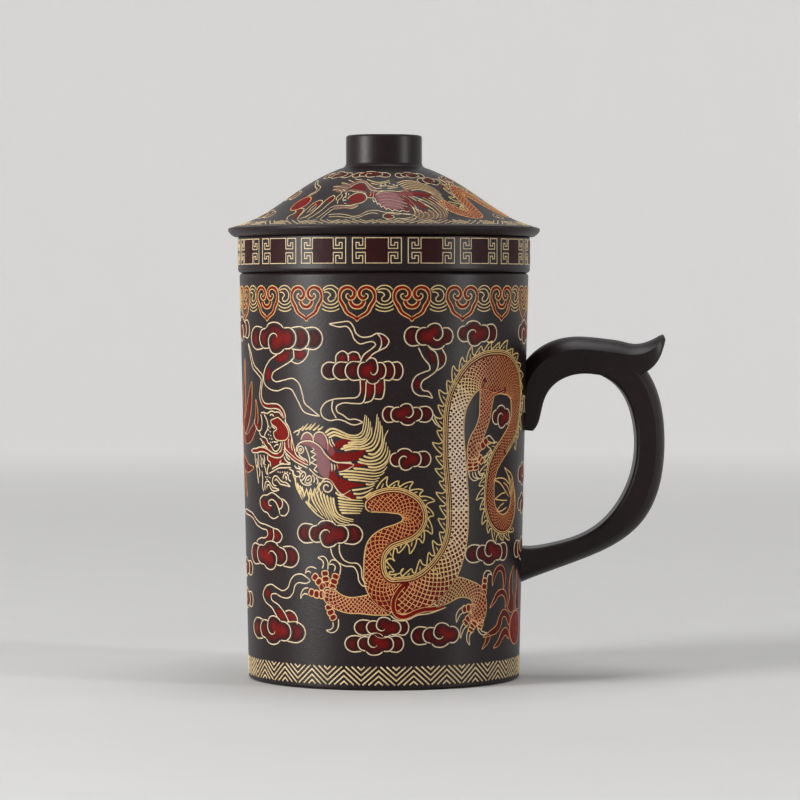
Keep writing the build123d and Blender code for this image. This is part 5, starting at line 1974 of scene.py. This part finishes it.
# Soft boxes: place, width and height in metres, and power in watts
SOFT_BOXES = {
    "left_box": ((-0.95, -0.52, 0.25), 0.34, 0.64, 16.2),
    "right_box": ((0.98, -0.46, 0.25), 0.09, 0.64, 5.8),
    "top_box": ((0.05, 0.05, 1.1), 0.6, 0.6, 5.5),
}
SOFT_BOX_AIM = (0.0, 0.0, 0.08)

# The sky's colour, and its levels as a light and as it is seen
SKY_COLOUR = (0.97, 0.98, 1.0, 1.0)
SKY_LEVELS = (0.07, 0.6)


class TEAMUG_OT_stage(bpy.types.Operator):
    """Makes the pale floor, the lights and the camera"""

    bl_idname = "teamug.stage"
    bl_label = "Stage"

    def execute(self, context):
        make_floor()
        make_lights()
        make_camera()
        context.scene.view_settings.view_transform = "Standard"
        return {"FINISHED"}


def sweep_mesh():
    """A round sweep: a floor that curves up into a wall on every side."""
    profile = [(SWEEP_RADIUS * i / SWEEP_RINGS, 0.0) for i in range(1, SWEEP_RINGS + 1)]
    for i in range(1, SWEEP_RINGS + 1):
        angle = math.pi / 2 * i / SWEEP_RINGS
        profile.append((SWEEP_RADIUS + SWEEP_ROUND * math.sin(angle), SWEEP_ROUND * (1 - math.cos(angle))))
    profile.append((SWEEP_RADIUS + SWEEP_ROUND, SWEEP_HEIGHT))
    turns = [2 * math.pi * i / SWEEP_SIDES for i in range(SWEEP_SIDES)]
    vertices = [(0.0, 0.0, 0.0)]
    vertices += [(r * math.cos(t), r * math.sin(t), z) for r, z in profile for t in turns]
    faces = [(0, 1 + i, 1 + (i + 1) % SWEEP_SIDES) for i in range(SWEEP_SIDES)]
    for ring_below in range(len(profile) - 1):
        low = 1 + ring_below * SWEEP_SIDES
        high = low + SWEEP_SIDES
        for i in range(SWEEP_SIDES):
            after = (i + 1) % SWEEP_SIDES
            faces.append((low + i, high + i, high + after, low + after))
    mesh = bpy.data.meshes.new("sweep")
    mesh.from_pydata(vertices, [], faces)
    mesh.polygons.foreach_set("use_smooth", [True] * len(mesh.polygons))
    return mesh


def pale_paper():
    """Pale paper that shines where it is seen, more so further off, and doesn't light the mug by it."""
    material, nodes, links, shader = new_material("pale_paper")
    paper = mixed(nodes, links, noise(nodes, links, *PAPER_FLECKS), PAPER_DARK, PAPER_LIGHT)
    links.new(paper, shader.inputs["Base Color"])
    shader.inputs["Roughness"].default_value = PAPER_ROUGHNESS
    place = nodes.new("ShaderNodeTexCoord")
    reach = nodes.new("ShaderNodeVectorMath")
    reach.operation = "LENGTH"
    links.new(place.outputs["Object"], reach.inputs[0])
    far = spread(nodes, links, reach.outputs["Value"], SHINE_STRETCH, SHINE_LEVELS)
    shine = worked(nodes, links, "MULTIPLY", far, seen(nodes, links))
    shader.inputs["Emission Color"].default_value = SHINE_COLOUR
    links.new(shine, shader.inputs["Emission Strength"])
    return material


def make_floor():
    """The pale paper sweep that the mug stands on."""
    mesh = sweep_mesh()
    mesh.materials.append(pale_paper())
    sweep = bpy.data.objects.new("sweep", mesh)
    bpy.context.scene.collection.objects.link(sweep)


def seen(nodes, links):
    """One where a surface is seen, mirrored or behind glass, and nought where it lights the mug."""
    path = nodes.new("ShaderNodeLightPath")
    share = path.outputs["Is Camera Ray"]
    for name in ("Is Glossy Ray", "Is Transmission Ray"):
        share = worked(nodes, links, "MAXIMUM", share, path.outputs[name])
    return share


def soft_box(name, place, width, height, power):
    """A soft rectangular light that faces the mug."""
    lamp = bpy.data.lights.new(name, "AREA")
    lamp.shape = "RECTANGLE"
    lamp.size = width
    lamp.size_y = height
    lamp.energy = power
    made = bpy.data.objects.new(name, lamp)
    made.location = place
    made.rotation_euler = (Vector(SOFT_BOX_AIM) - Vector(place)).to_track_quat("-Z", "Y").to_euler()
    bpy.context.scene.collection.objects.link(made)


def make_lights():
    """Two tall soft boxes at the front corners, one overhead, and a dim even sky."""
    for name, facts in SOFT_BOXES.items():
        soft_box(name, *facts)
    world = bpy.data.worlds.new("studio")
    world.use_nodes = True
    nodes, links = world.node_tree.nodes, world.node_tree.links
    sky = nodes["Background"]
    sky.inputs["Color"].default_value = SKY_COLOUR
    links.new(spread(nodes, links, seen(nodes, links), WHOLE, SKY_LEVELS), sky.inputs["Strength"])
    bpy.context.scene.world = world


def make_camera():
    """The camera at the photograph's angle."""
    stage = settings().stage
    lens = bpy.data.cameras.new("camera")
    lens.lens = stage.lens
    camera = bpy.data.objects.new("camera", lens)
    camera.location = (0.0, -stage.camera_distance, stage.eye_height)
    aim = Vector((stage.aim_right, 0.0, stage.aim_height))
    camera.rotation_euler = (aim - camera.location).to_track_quat("-Z", "Y").to_euler()
    bpy.context.scene.collection.objects.link(camera)
    bpy.context.scene.camera = camera


class TEAMUG_PT_panel(bpy.types.Panel):
    """Lists the steps that dress the mug"""

    bl_label = "Tea Mug"
    bl_space_type = "VIEW_3D"
    bl_region_type = "UI"
    bl_category = "Tea Mug"

    def draw(self, context):
        for step in STEPS:
            self.layout.operator(step.bl_idname)
        for group in (settings().clay, settings().enamel, settings().stage):
            for name in group.__annotations__:
                self.layout.prop(group, name)


STEPS = (
    TEAMUG_OT_clay, TEAMUG_OT_bands, TEAMUG_OT_clouds, TEAMUG_OT_dragon, TEAMUG_OT_lid, TEAMUG_OT_stage,
)
CLASSES = (ClaySettings, EnamelSettings, StageSettings, MugSettings, *STEPS, TEAMUG_PT_panel)


def register():
    """Makes the add-on's classes and settings known to Blender."""
    for made in CLASSES:
        bpy.utils.register_class(made)
    bpy.types.Scene.tea_mug = bpy.props.PointerProperty(type=MugSettings)


def unregister():
    """Takes the add-on's settings and classes away again."""
    del bpy.types.Scene.tea_mug
    for made in reversed(CLASSES):
        bpy.utils.unregister_class(made)


def main():
    """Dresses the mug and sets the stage."""
    register()
    bpy.ops.teamug.clay()
    bpy.ops.teamug.bands()
    bpy.ops.teamug.clouds()
    bpy.ops.teamug.dragon()
    bpy.ops.teamug.lid()
    bpy.ops.teamug.stage()


if __name__ == "__main__":
    main()
